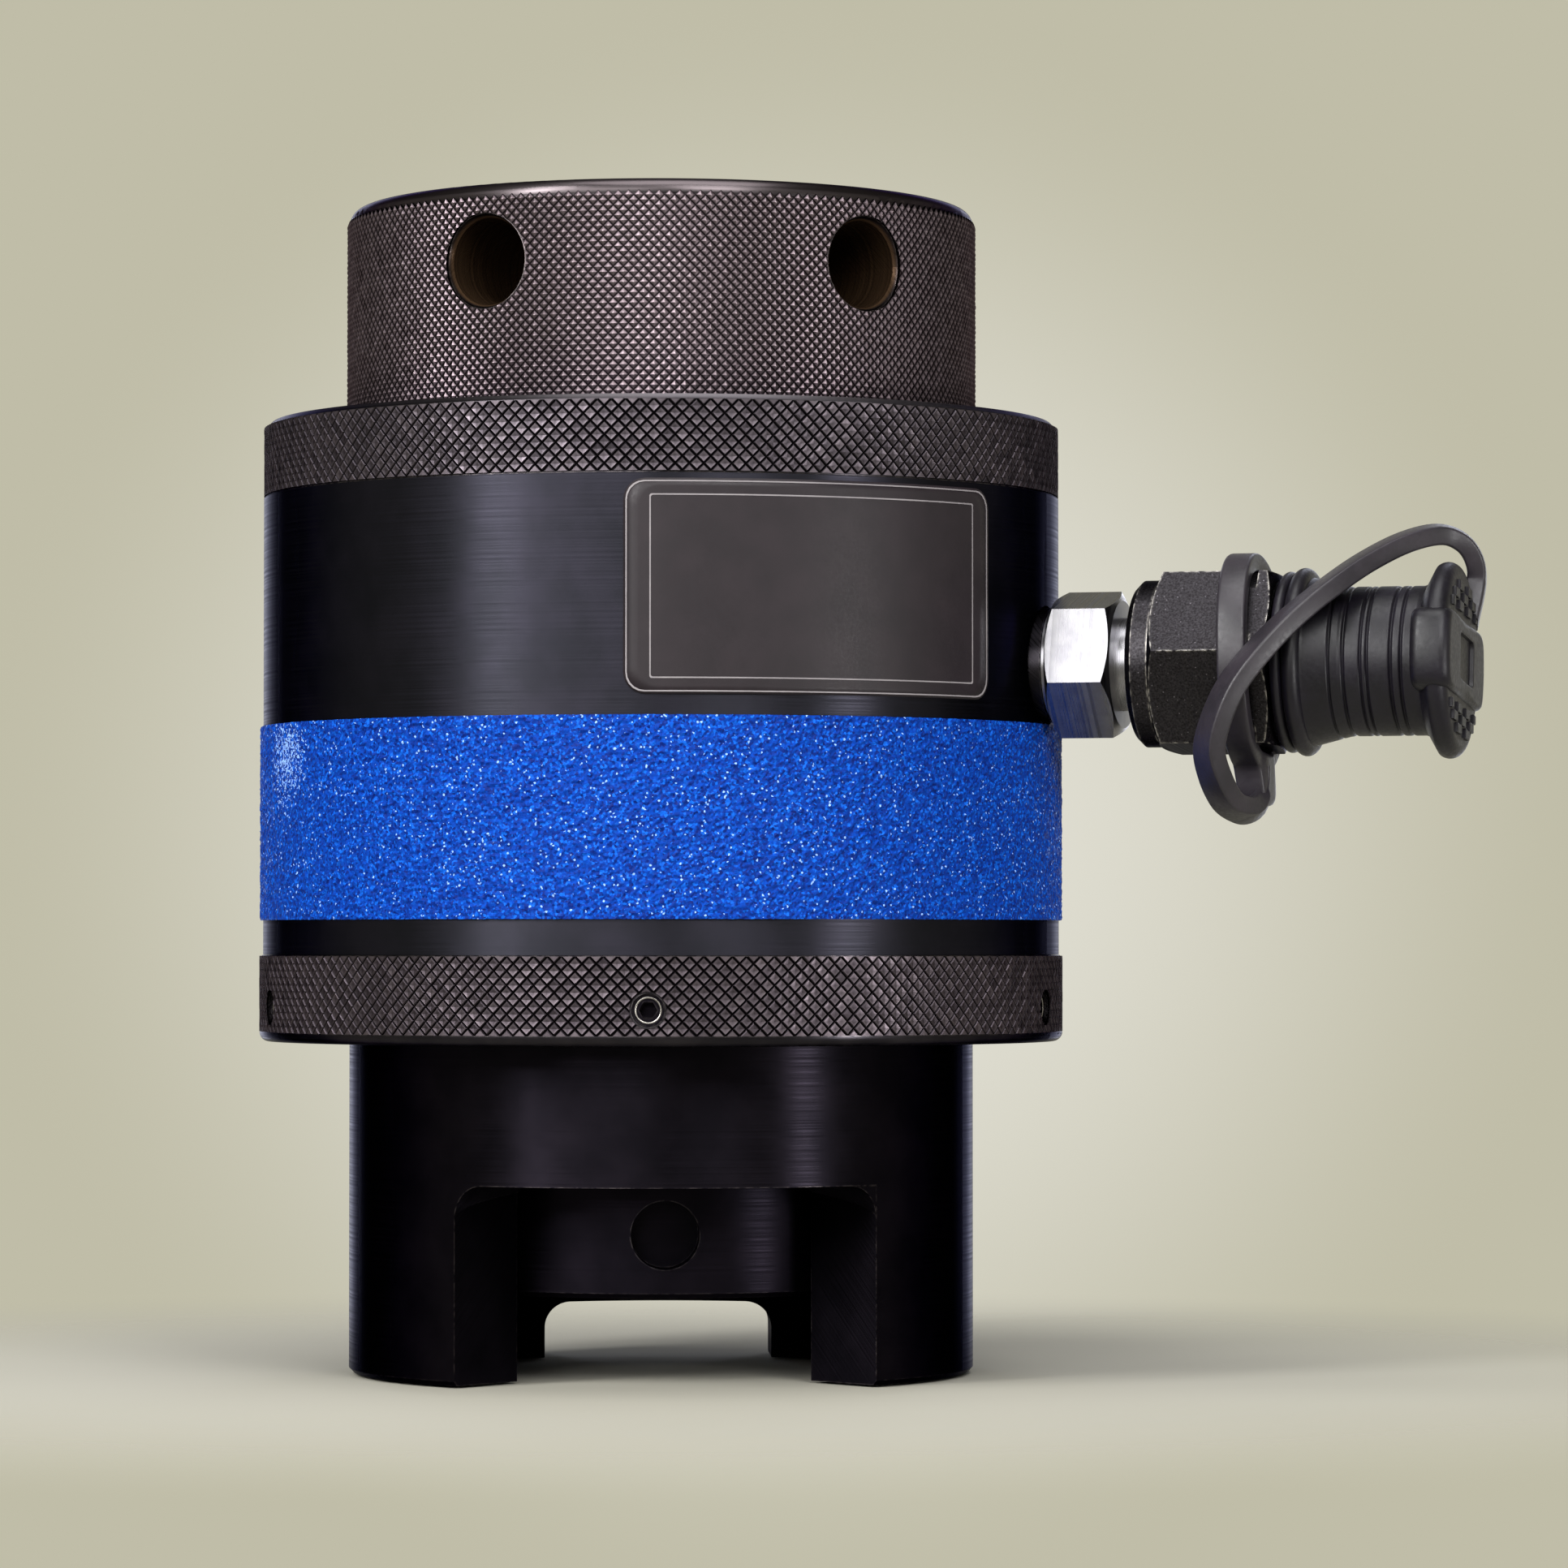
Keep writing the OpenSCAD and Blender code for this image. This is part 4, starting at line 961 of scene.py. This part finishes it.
@dataclass
class LabelPlate:
    """Bare data plate on the body: a curved rounded rectangle with two thin printed frame lines."""

    left: float = 12.3
    right: float = 69.7
    low: float = 86.4
    high: float = 113.0
    corner: float = 2.7
    seat: float = 51.9
    face: float = 52.16
    line: float = 0.17
    border: float = 0.45
    frame_inset: float = 3.4
    frame_squeeze: float = 0.62
    frame_corner: float = 0.3
    line_proud: float = 0.035
    line_sunk: float = 0.05
    spacing: float = 1.2

    def curved(self, flat: np.ndarray, radius: np.ndarray | float) -> np.ndarray:
        """Wrap flat plate coordinates round the body at a radius."""
        middle = math.radians((self.left + self.right) / 2)
        return around((self.low + self.high) / 2 + flat[..., 1], radius, middle + flat[..., 0] / self.face)

    def frame_line(self, width: float, height: float, corner: float) -> Surface:
        """A closed thin frame: inner and outer outlines, sunk into the plate's face and just above it.

        Args:
            width: inner width, mm.
            height: inner height, mm.
            corner: radius of the inner corners, mm.
        Returns:
            Points and faces.
        """
        inner = filled_in(rounded_box(width, height, corner), self.spacing)
        outer = inner * np.array([(width + 2 * self.line) / width, (height + 2 * self.line) / height])
        rise, sunk = self.face + self.line_proud, self.face - self.line_sunk
        loops = [self.curved(inner, sunk), self.curved(inner, rise), self.curved(outer, rise),
                 self.curved(outer, sunk)]
        return np.concatenate(loops), [grid_faces(4, len(inner), wrap_rows=True)]

    def build(self) -> None:
        """Make the plate from rings between its centre and its outline, and the two frame lines over it."""
        width = math.radians(self.right - self.left) * self.face
        height = self.high - self.low
        outline = filled_in(rounded_box(width, height, self.corner, 8), self.spacing)
        share = np.linspace(0.02, 1, 14)[:, None, None]
        face = self.curved(outline[None] * share, self.face)
        back = self.curved(outline[None] * share[::-1], self.seat)
        plate = piece("label_plate", *capped(np.concatenate([face, back])))
        settle(plate, Finish.LABEL, NODE_BODY["cylinder"], "black_steel")
        lines = joined([
            self.frame_line(width - 2 * self.border, height - 2 * self.border, self.corner - self.border),
            self.frame_line(width - 2 * self.frame_inset, height - 2 * self.frame_inset * self.frame_squeeze,
                            self.frame_corner)])
        settle(piece("label_lines", *lines, smooth=False), Finish.PRINT, NODE_BODY["cylinder"], "zinc_plate")


@dataclass
class WindowFillet:
    """Rounded upper corner of the front window, on the coupling's side, flush with the bridge's wall."""

    top: float = 25.2
    corner: float = 4.2
    edge: float = 59.2
    inner: float = 29.0
    outer: float = 40.74

    def build(self) -> None:
        """Carry the corner's outline, a quarter circle and its square corner, straight through the wall."""
        reach = math.asin(self.corner / (self.outer + 0.01))
        quarter = np.linspace(0, np.pi / 2, 16)
        across = np.concatenate([self.corner * np.sin(quarter), [self.corner]])
        up = np.concatenate([self.top - self.corner + self.corner * np.cos(quarter), [self.top]])
        turn = math.radians(self.edge) - reach
        out = np.array([math.sin(turn), -math.cos(turn)])
        side = np.array([math.cos(turn), math.sin(turn)])
        loops = []
        for radius in (self.inner, self.outer):
            flat = np.sqrt(radius ** 2 - across ** 2)[:, None] * out + across[:, None] * side
            loops.append(np.column_stack([flat, up]))
        made = piece("window_fillet", *capped(np.stack(loops)), smooth=False)
        settle(made, Finish.BRIDGE, NODE_BODY["bridge"], "black_steel")


@dataclass
class SetScrewRims:
    """Worn rims of the collar's five set screws: a small turned lip round each hexagon socket.

    Each row of the profile is a distance from the screw's axis and a height above the lip's crest.
    """

    face: float = 51.62
    sides: int = 32
    profile: tuple[tuple[float, float], ...] = (
        (1.25, -1.0), (1.28, -0.6), (1.42, -0.14), (1.53, 0.0), (1.68, -0.02), (1.8, -0.14), (1.88, -0.5),
        (1.88, -1.0))

    def build(self) -> None:
        """Carry each lip's profile round its own screw's axis."""
        reach, rise = np.array(self.profile)[:, None, :].transpose(2, 0, 1)
        turn = np.linspace(0, 2 * np.pi, self.sides, endpoint=False)
        aside, up, rise = (part[..., None] for part in np.broadcast_arrays(
            reach * np.cos(turn), reach * np.sin(turn), rise))
        lips = []
        for out in SCREW_HOLES.outward():
            side = np.array([-out[1], out[0], 0.0])
            grid = out * (self.face + rise) + side * aside + [0.0, 0.0, 1.0] * up + [0, 0, SCREW_HOLES.height]
            lips.append((grid.reshape(-1, 3), [grid_faces(len(self.profile), self.sides, wrap_rows=True)]))
        settle(piece("set_screw_rims", *joined(lips)), Finish.SCREW, NODE_BODY["collar_set_screws"],
               "socket_steel")


@dataclass
class PullerThread:
    """The puller's internal thread: one helical ridge on the bore."""

    low: float = 28.2
    high: float = 74.0
    bore: float = 11.95
    crest: float = 11.45
    pitch: float = 3.0
    sunk: float = 0.3
    foot: float = 1.2
    tip: float = 0.25

    def build(self) -> None:
        """Sweep a rounded V along a helix: the radius is the bore's and height grows with the angle."""
        turns = (self.high - self.low) / self.pitch
        turn = np.linspace(0, 2 * np.pi * turns, int(turns * 48))
        path = around(self.low + (self.high - self.low) * turn / turn[-1], self.bore, turn)
        inward = around(np.zeros_like(turn), -1.0, turn)
        deep = self.bore - self.crest
        base, near_tip = self.foot + 0.1, deep * 0.9
        section = np.array([[-self.sunk, -base], [0.0, -self.foot], [near_tip, -self.tip], [deep, 0.0],
                            [near_tip, self.tip], [0.0, self.foot], [-self.sunk, base]])
        settle(piece("puller_thread", *swept(path, section, inward)), Finish.SOCKET, NODE_BODY["puller"],
               "black_steel")


@dataclass
class DustCap:
    """Moulded rubber dust cap: bead, ribbed sleeve, rounded end disc, grip bar and two chequered pads."""

    mouth: float = 83.5
    bead_r: float = 11.7
    sleeve_r: float = 9.5
    bore_r: float = 7.62
    bore_end: float = 100.05
    disc_x: float = 104.5
    disc_round: float = 1.6
    disc_r: float = 12.45
    face_x: float = 106.1
    face_r: float = 10.9
    bar_h: float = 10.6
    bar_r: float = 13.3
    bar_x: float = 106.75
    stud_w: float = 2.8
    stud_h: float = 1.3
    turn: float = 6.5
    recess: tuple[float, float] = (4.6, 2.9)
    ribs: tuple[tuple[float, float, float], ...] = (
        (90.75, 0.28, 0.16), (92.53, 0.34, 0.2), (94.77, 0.3, 0.17), (95.6, 0.3, 0.17), (98.61, 0.34, 0.2),
        (99.93, 0.3, 0.18))
    crease: float = 38.0

    def body_profile(self) -> np.ndarray:
        """Stations and radii of the cap: bead, taper and sleeve less a groove at each rib, then the disc.

        A groove is a bell curve along the sleeve, given by its station, depth and width. The bead's two lips
        and the disc's rim are arcs.

        Returns:
            Rows of station and radius, a closed loop.
        """
        start, stop = 87.3, 101.6
        x = np.linspace(start, stop, 260)
        r = np.interp(x, [start, 87.6, 91.8, 92.4, stop], [10.75, 10.62, 9.55, self.sleeve_r, self.sleeve_r])
        for at, depth, width in self.ribs:
            r = r - depth * np.exp(-((x - at) / width) ** 2)
        lip = np.linspace(-np.pi / 2, np.pi / 2, 12)[:, None]
        bead = np.vstack([np.hstack([84.25 + 0.75 * np.sin(lip), self.bead_r - 1.0 + 0.85 * np.cos(lip)]),
                          np.hstack([86.15 + 1.15 * np.sin(lip), self.bead_r - 0.9 + 1.2 * np.cos(lip)])])
        curve = np.linspace(-0.6, np.pi / 2, 22)[:, None]
        rim = np.hstack([self.disc_x + self.disc_round * np.sin(curve),
                         self.disc_r - self.disc_round + self.disc_round * np.cos(curve)])
        rim = np.vstack([[102.2, self.sleeve_r + 0.2], rim])
        axle = 0.01
        end = np.array([[self.face_x, self.disc_r - self.disc_round - 0.2], [self.face_x, axle]])
        inside = np.array([[self.bore_end, axle], [self.bore_end, self.bore_r], [84.2, self.bore_r],
                           [self.mouth, self.bore_r + 0.5]])
        return np.vstack([bead, np.stack([x, r], axis=1), rim, end, inside])

    def bar(self) -> Surface:
        """Grip bar: rings of a rounded outline, drawn in at the front edge, then down into a square recess.

        The outline and the recess are superellipses: the sum of two high powers of the sides is one.

        Returns:
            Points and faces.
        """
        turn = np.linspace(0, 2 * np.pi, 120, endpoint=False)
        c, s = np.abs(np.cos(turn)), np.abs(np.sin(turn))
        outline = ((1 / self.bar_r) ** 10 + (s / (self.bar_h / 2)) ** 10) ** (-1 / 10)
        square = ((c / self.recess[0]) ** 14 + (s / self.recess[1]) ** 14) ** (-1 / 14)
        front = self.bar_x
        rings = [(101.6, outline - 1.3), (101.75, outline - 0.7), (102.2, outline - 0.2), (102.8, outline),
                 (front - 1.3, outline - 0.05), (front - 0.8, outline - 0.2), (front - 0.36, outline - 0.5),
                 (front - 0.1, outline - 0.9), (front, outline - 1.4), (front, outline - 1.7),
                 (front, square + 0.5), (front, square + 0.3), (front - 0.07, square + 0.08),
                 (front - 0.5, square - 0.05), (front - 0.55, square - 0.2), (front - 0.55, square - 0.4),
                 (front - 0.55, square * 0.05)]
        lean = turn + math.radians(self.turn)
        return capped(np.stack([
            np.stack([np.full_like(turn, x), -r * np.cos(lean), PORT_Z + r * np.sin(lean)], axis=-1)
            for x, r in rings]))

    def studs(self) -> Surface:
        """Chequered pads: every second cell of a grid above and below the bar is a low frustum.

        Each row of cells is cut off at the chord of the pad's circle, and slivers are left out.

        Returns:
            Points and faces.
        """
        gap, sliver, bevel = 0.05, 0.7, 0.12
        k = np.arange(-9, 10)
        a, b = (m.ravel() for m in np.meshgrid(k, k))
        keep = (a + b) % 2 == 0
        y, z = a[keep] * self.stud_w, b[keep] * self.stud_h
        chord = np.sqrt(np.clip(self.face_r ** 2 - (np.abs(z) + self.stud_h / 2) ** 2, 0, None))
        left = np.maximum(y - self.stud_w / 2 + gap, -chord)
        right = np.minimum(y + self.stud_w / 2 - gap, chord)
        keep = (right - left > sliver) & (np.abs(z) > (self.bar_h + self.stud_h) / 2)
        left, right, z = left[keep], right[keep], z[keep]
        lean = math.radians(self.turn)

        def layer(inset: float, x: float) -> np.ndarray:
            """One layer of corners of all studs.

            Args:
                inset: how far the corners are drawn in, mm.
                x: the layer's station, mm.
            Returns:
                Studs by four corners by coordinates.
            """
            near, far = left + inset, right - inset
            yy = np.stack([near, far, far, near], axis=1)
            zz = z[:, None] + np.array([-1, -1, 1, 1]) * (self.stud_h / 2 - gap - inset)
            return np.stack([np.full_like(yy, x), -(yy * math.cos(lean) - zz * math.sin(lean)),
                             PORT_Z + yy * math.sin(lean) + zz * math.cos(lean)], axis=-1)

        points = np.concatenate([layer(0.0, self.face_x - 0.3), layer(0.0, self.face_x + 0.3),
                                 layer(bevel, self.face_x + 0.4)], axis=1).reshape(-1, 3)
        quads = np.array([[3, 2, 1, 0], [8, 9, 10, 11], [0, 1, 5, 4], [1, 2, 6, 5], [2, 3, 7, 6],
                          [3, 0, 4, 7], [4, 5, 9, 8], [5, 6, 10, 9], [6, 7, 11, 10], [7, 4, 8, 11]])
        return points, [(quads[None] + 12 * np.arange(len(z))[:, None, None]).reshape(-1, 4)]

    def build(self) -> None:
        """Make the cap as one rubber piece that pulls off with its body."""
        made = piece("dust_cap_moulding", *joined([revolved(self.body_profile(), 96, Axis.PORT), self.bar(),
                                                   self.studs()]))
        made.data.set_sharp_from_angle(angle=math.radians(self.crease))
        settle(made, Finish.CAP_RUBBER, NODE_BODY["dust_cap"], "cap_rubber", "dust_cap")


@dataclass
class Tether:
    """Rubber tether of the dust cap: a ring in the nipple's groove with a lug, and the strap to the cap."""

    ring_x: float = 79.2
    ring_w: float = 3.6
    bore_r: float = 11.65
    ring_r: float = 14.0
    lug: float = 4.3
    strap_w: float = 4.6
    strap_t: float = 2.4
    span: float = 24.9
    shares: tuple[tuple[float, float, float], ...] = (
        (1.07, .84, .75), (1.06, .77, .97), (1, .66, 1.12), (.9, .5, 1.17), (.76, .18, 1.08), (.6, -.21, .88),
        (.45, -.64, .62), (.3, -.93, .35), (.16, -1.11, .06), (.04, -1.2, -.23), (-.04, -1.21, -.52),
        (-.09, -1.14, -.81), (-.08, -.96, -1.07), (-.05, -.69, -1.27), (0, -.39, -1.34), (.03, -.12, -1.28),
        (.04, -.01, -1.13))
    tilts: tuple[float, ...] = (10.0, 10.0, 20.0, 26.0, 8.0)
    tilt_at: tuple[float, ...] = (0, 0.45, 0.62, 0.8, 1)
    cap_end: tuple[float, float, float] = (105.14, 9.96, 5.17)
    lug_end: tuple[float, float, float] = (80.2, 0.0, -13.2)
    lug_half: float = 3.5
    lug_shift: float = 0.5
    ring_lean: float = 1.0
    crease: float = 50.0

    def ring(self) -> Object:
        """Carry a rounded section round the port's axis; below, its outside swells into the lug.

        The swell is a flat-topped bell curve of the angle. The ring's upper half leans towards the body.

        Returns:
            The ring's piece.
        """
        section = rounded_box(1.0, 1.0, 0.13, 4) + 0.5
        turn = np.linspace(-np.pi, np.pi, 180, endpoint=False)
        swell = np.exp(-(turn * self.ring_r / self.lug_half) ** 6)
        depth = (self.ring_r - self.bore_r) + self.lug * swell
        radius = self.bore_r + section[:, 1:] * depth[None, :]
        lean = -self.ring_lean * np.clip(-np.cos(turn), 0, 1) ** 1.5
        x = (self.ring_x + (section[:, :1] - 0.5) * self.ring_w + lean[None, :]
             + self.lug_shift * swell[None, :])
        grid = around(x, radius, turn[None, :], Axis.PORT)
        made = piece("tether_loop", grid.reshape(-1, 3),
                     [grid_faces(len(section), len(turn), wrap_rows=True)])
        made.data.set_sharp_from_angle(angle=math.radians(self.crease))
        return made

    def strap(self) -> Object:
        """Sweep a rounded rectangle along the route from the cap to the lug.

        The route's points are shares of the span and of the ring's radius. The width points to the front,
        square to the path, and then tilts.

        Returns:
            The strap's piece.
        """
        share = np.array(self.shares)
        middle = np.stack([self.ring_x + share[:, 0] * self.span, share[:, 1] * self.ring_r,
                           share[:, 2] * self.ring_r], axis=1)
        route = np.vstack([[self.cap_end], middle, [self.lug_end]])
        path = smooth_path(route + [0, 0, PORT_Z], 150)
        tangent = along_path(path)
        front = np.array([math.sin(math.radians(VIEW_DIR)), -math.cos(math.radians(VIEW_DIR)), 0.0])
        wide = front - tangent * (tangent @ front)[:, None]
        tilt = np.radians(np.interp(np.linspace(0, 1, len(path)), self.tilt_at, self.tilts))
        section = rounded_box(self.strap_t, self.strap_w, 0.35, 4)
        made = piece("tether_strap_moulding", *swept(path, section, np.cross(tangent, wide), -tilt))
        made.data.set_sharp_from_angle(angle=math.radians(self.crease))
        return made

    def build(self) -> None:
        """Make ring and strap; the strap stretches between the nipple and the cap."""
        body = NODE_BODY["tether_ring"]
        settle(self.ring(), Finish.TETHER_RUBBER, body, "cap_rubber", "tether_ring")
        strap = self.strap()
        dress(strap, Finish.TETHER_RUBBER)
        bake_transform(strap)
        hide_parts("tether_strap")
        LOG.info("%s: blends from %s to the dust cap", strap.name, body)


@dataclass
class CoilSpring:
    """A wire spring wound round an axis, its end turns lying flat."""

    name: str
    node: str
    axis: Axis
    mean_r: float
    wire: float
    low: float
    high: float
    turns: float
    joint: str
    anchor: tuple[float, float, float]
    keep: float
    slot: str = "spring_steel"

    def build(self) -> None:
        """Sweep a circle along a helix whose rise is eased to nothing over the first and last half turn."""
        part = np.linspace(0, 1, int(self.turns * 40))
        flat = 0.5 / self.turns
        rise = np.clip((part - flat) / (1 - 2 * flat), 0, 1)
        along = self.low + self.wire / 2 + (self.high - self.low - self.wire) * rise
        turn = 2 * np.pi * self.turns * part
        path = around(along, self.mean_r, turn, self.axis)
        out = around(np.zeros_like(turn), 1.0, turn, self.axis)
        if self.axis is Axis.PORT:
            out = out - [0, 0, PORT_Z]
        made = piece(self.name, *swept(path, circle(self.wire / 2, 14), out))
        settle(made, Finish.WIRE, NODE_BODY[self.node], self.slot, self.node)
        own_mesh(made)


def aim_at(target: Object, at: np.ndarray, aim: np.ndarray) -> None:
    """Place an object and turn its -Z axis at a point, both in metres."""
    target.location = at
    target.rotation_euler = Vector(aim - at).to_track_quat("-Z", "Y").to_euler()


@dataclass(frozen=True)
class SoftBox:
    """A soft box aimed at the object's middle: direction in degrees, places and sizes in metres."""

    name: str
    direction: float
    height: float
    away: float
    size: tuple[float, float]
    glow: float
    colour: str = "#ffffff"
    aim_z: float = 0.08

    def build(self) -> None:
        """Make the lamp: its power is pi times its area times its brightness, where 1 is seen as white."""
        data = bpy.data.lights.new(self.name, "AREA")
        data.shape, data.size, data.size_y = "RECTANGLE", *self.size
        data.energy = self.glow * self.size[0] * self.size[1] * math.pi
        data.color = linear(self.colour)[:3]
        lamp = bpy.data.objects.new(self.name, data)
        bpy.context.scene.collection.objects.link(lamp)
        turn = math.radians(self.direction)
        at = np.array([math.sin(turn) * self.away, -math.cos(turn) * self.away, self.height])
        aim_at(lamp, at, np.array([0, 0, self.aim_z]))


@dataclass
class Studio:
    """Plain pale floor and background, soft boxes and the camera at the photograph's angle, all in metres."""

    middle: str = "#dfddd1"
    background: str = "#c0bda8"
    sides: str = "#a8a598"
    ceiling: str = "#56544d"
    middle_fade: tuple[float, float] = (0.03, 0.13)
    side_fade: tuple[float, float] = (0.2, 0.7)
    ceiling_fade: tuple[float, float] = (0.25, 0.6)
    ambient: float = 0.12
    focal: float = 145.4
    distance: float = 0.830
    eye: float = 0.056
    aim_side: float = 0.01606
    aim_z: float = 0.0766
    floor_tint: str = "#a3a093"
    floor_fade: tuple[float, float] = (0.06, 0.2)
    lamps: tuple[SoftBox, ...] = (
        SoftBox("key", VIEW_DIR - 48, 0.55, 0.8, (0.18, 0.7), 22.0),
        SoftBox("side", VIEW_DIR + 53, -0.03, 0.9, (0.08, 0.3), 33.0),
        SoftBox("front", VIEW_DIR - 20, 0.38, 0.9, (0.55, 0.5), 4.6),
        SoftBox("high", VIEW_DIR + 20, 0.62, 0.8, (0.35, 0.55), 9.0),
        SoftBox("top", VIEW_DIR + 15, 1.1, 0.2, (0.7, 0.7), 4.0),
        SoftBox("rim_left", VIEW_DIR - 160, 0.3, 0.9, (0.2, 0.9), 2.4, "#e6ebff"),
        SoftBox("rim_right", VIEW_DIR + 158, 0.3, 0.9, (0.2, 0.9), 2.4, "#e6ebff"))

    def camera(self) -> None:
        """Stand the camera at its direction and height and aim it beside the axis."""
        turn = math.radians(VIEW_DIR)
        data = bpy.data.cameras.new("camera")
        data.sensor_width, data.lens = 36.0, self.focal
        data.clip_start, data.clip_end = 0.01, 20.0
        cam = bpy.data.objects.new("camera", data)
        bpy.context.scene.collection.objects.link(cam)
        at = np.array([math.sin(turn) * self.distance, -math.cos(turn) * self.distance, self.eye])
        aim = np.array([math.cos(turn) * self.aim_side, math.sin(turn) * self.aim_side, self.aim_z])
        aim_at(cam, at, aim)
        bpy.context.scene.camera = cam

    def world(self) -> None:
        """Even soft light for the object, and the pale background for the eye, for gloss and through glass.

        The background is palest straight ahead of the camera's place and darkens to the sides and upwards.
        """
        world = bpy.data.worlds.new("studio")
        bpy.context.scene.world = world
        world.use_nodes = True
        tree = world.node_tree
        path = add(tree, "LightPath")
        seen = add(tree, "Math", {0: path["Is Camera Ray"], 1: path["Is Glossy Ray"]}, operation="MAXIMUM")[0]
        seen = add(tree, "Math", {0: seen, 1: path["Is Transmission Ray"]}, operation="MAXIMUM")[0]
        soft = add(tree, "Background", {"Color": (1, 1, 1, 1), "Strength": self.ambient})[0]
        toward = add(tree, "TexCoord")["Generated"]
        rise = add(tree, "SeparateXYZ", {0: toward})[2]
        turn, right = math.radians(VIEW_DIR), self.aim_side / self.distance
        ahead = (right * math.cos(turn) - math.sin(turn), right * math.sin(turn) + math.cos(turn), 0.02)
        aside = add(tree, "VectorMath", {0: toward, 1: ahead}, operation="DISTANCE")["Value"]
        layers = []
        for reading, (near, far), tint in ((aside, self.middle_fade, self.background),
                                           (aside, self.side_fade, self.sides),
                                           (rise, self.ceiling_fade, self.ceiling)):
            fall = add(tree, "MapRange", {0: reading, 1: near, 2: far}, interpolation_type="SMOOTHSTEP")[0]
            layers.append((fall, tint))
        pale = add(tree, "Background", {"Color": layered(tree, self.middle, layers), "Strength": 1.0})[0]
        mixed = add(tree, "MixShader", {0: seen, 1: soft, 2: pale})[0]
        put(tree, tree.nodes["World Output"].inputs[0], mixed)

    def floor(self) -> None:
        """A pale disc under the foot that keeps the shadow, fades out all round and is clear from below."""
        rows, sides, sunk = 24, 96, -0.3
        radius = np.linspace(0.5, 420, rows)[:, None]
        turn = np.arange(sides) * 2 * np.pi / sides
        rings = around(np.full((1, 1), sunk), radius, turn[None, :])
        made = piece("floor", rings.reshape(-1, 3), [grid_faces(rows, sides), np.arange(sides)[None, ::-1]])
        material, tree, shader, coords = blank("pale_floor")
        away = add(tree, "VectorMath", {0: coords}, operation="LENGTH")["Value"]
        near, far = self.floor_fade
        hold = add(tree, "MapRange", {0: away, 1: near, 2: far, 3: 1.0, 4: 0.0},
                   interpolation_type="SMOOTHSTEP")[0]
        above = add(tree, "NewGeometry")["Backfacing"]
        hold = add(tree, "Math", {0: hold, 1: above}, operation="MULTIPLY")[0]
        set_all(tree, shader, Base_Color=linear(self.floor_tint), Roughness=0.9, Alpha=hold)
        made.data.materials.append(material)

    def build(self) -> None:
        """Set up the camera, the world, the floor and the lamps."""
        bpy.context.scene.view_settings.view_transform = "Standard"
        self.camera()
        self.world()
        self.floor()
        for lamp in self.lamps:
            lamp.build()


def main() -> None:
    """Build every sub-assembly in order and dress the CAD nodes."""
    logging.basicConfig(level=logging.INFO, format="%(name)s: %(message)s")
    Studio().build()
    for node, finish in NODE_FINISH.items():
        dress(frame["nodes"][node], finish)
        LOG.info("%s: %s", node, finish.value.name)
    KnurlSleeve("spring_cap_knurl", "spring_cap", Finish.RING_KNURL, root=51.75, crest=52.0, low=113.95,
                high=122.8, count=186, flat=0.7, dimple=0.06).build()
    KnurlSleeve("collar_knurl", "retaining_collar", Finish.COLLAR_KNURL, root=52.25, crest=52.5, low=44.3,
                high=54.1, count=186, flat=0.7, dimple=0.06, holes=SCREW_HOLES, seed=5).build()
    KnurlSleeve("puller_knurl", "puller", Finish.PULLER_KNURL, root=40.98, crest=41.2, low=124.15, high=149.6,
                count=200, flat=0.16, dimple=-0.02, zigzag_top=True, holes=TOMMY_HOLES, seed=7).build()
    GripTape().build()
    LabelPlate().build()
    WindowFillet().build()
    SetScrewRims().build()
    PullerThread().build()
    DustCap().build()
    Tether().build()
    CoilSpring("piston_return_spring", "return_spring", Axis.UPRIGHT, mean_r=35.5, wire=2.0, low=98.05,
               high=119.45, turns=3.5, joint="piston_stroke", anchor=(0.0, 0.0, 0.11945), keep=0.53).build()
    low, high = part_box("poppet_spring")
    reach, wire = float(high[1] - low[1]) / 2 / MM, 0.9
    CoilSpring("valve_spring", "poppet_spring", Axis.PORT, mean_r=reach - wire / 2, wire=wire,
               low=low[0] / MM, high=high[0] / MM, turns=7, joint="valve_press",
               anchor=(low[0], 0.0, PORT_Z * MM), keep=0.84).build()


if __name__ == "__main__":
    main()
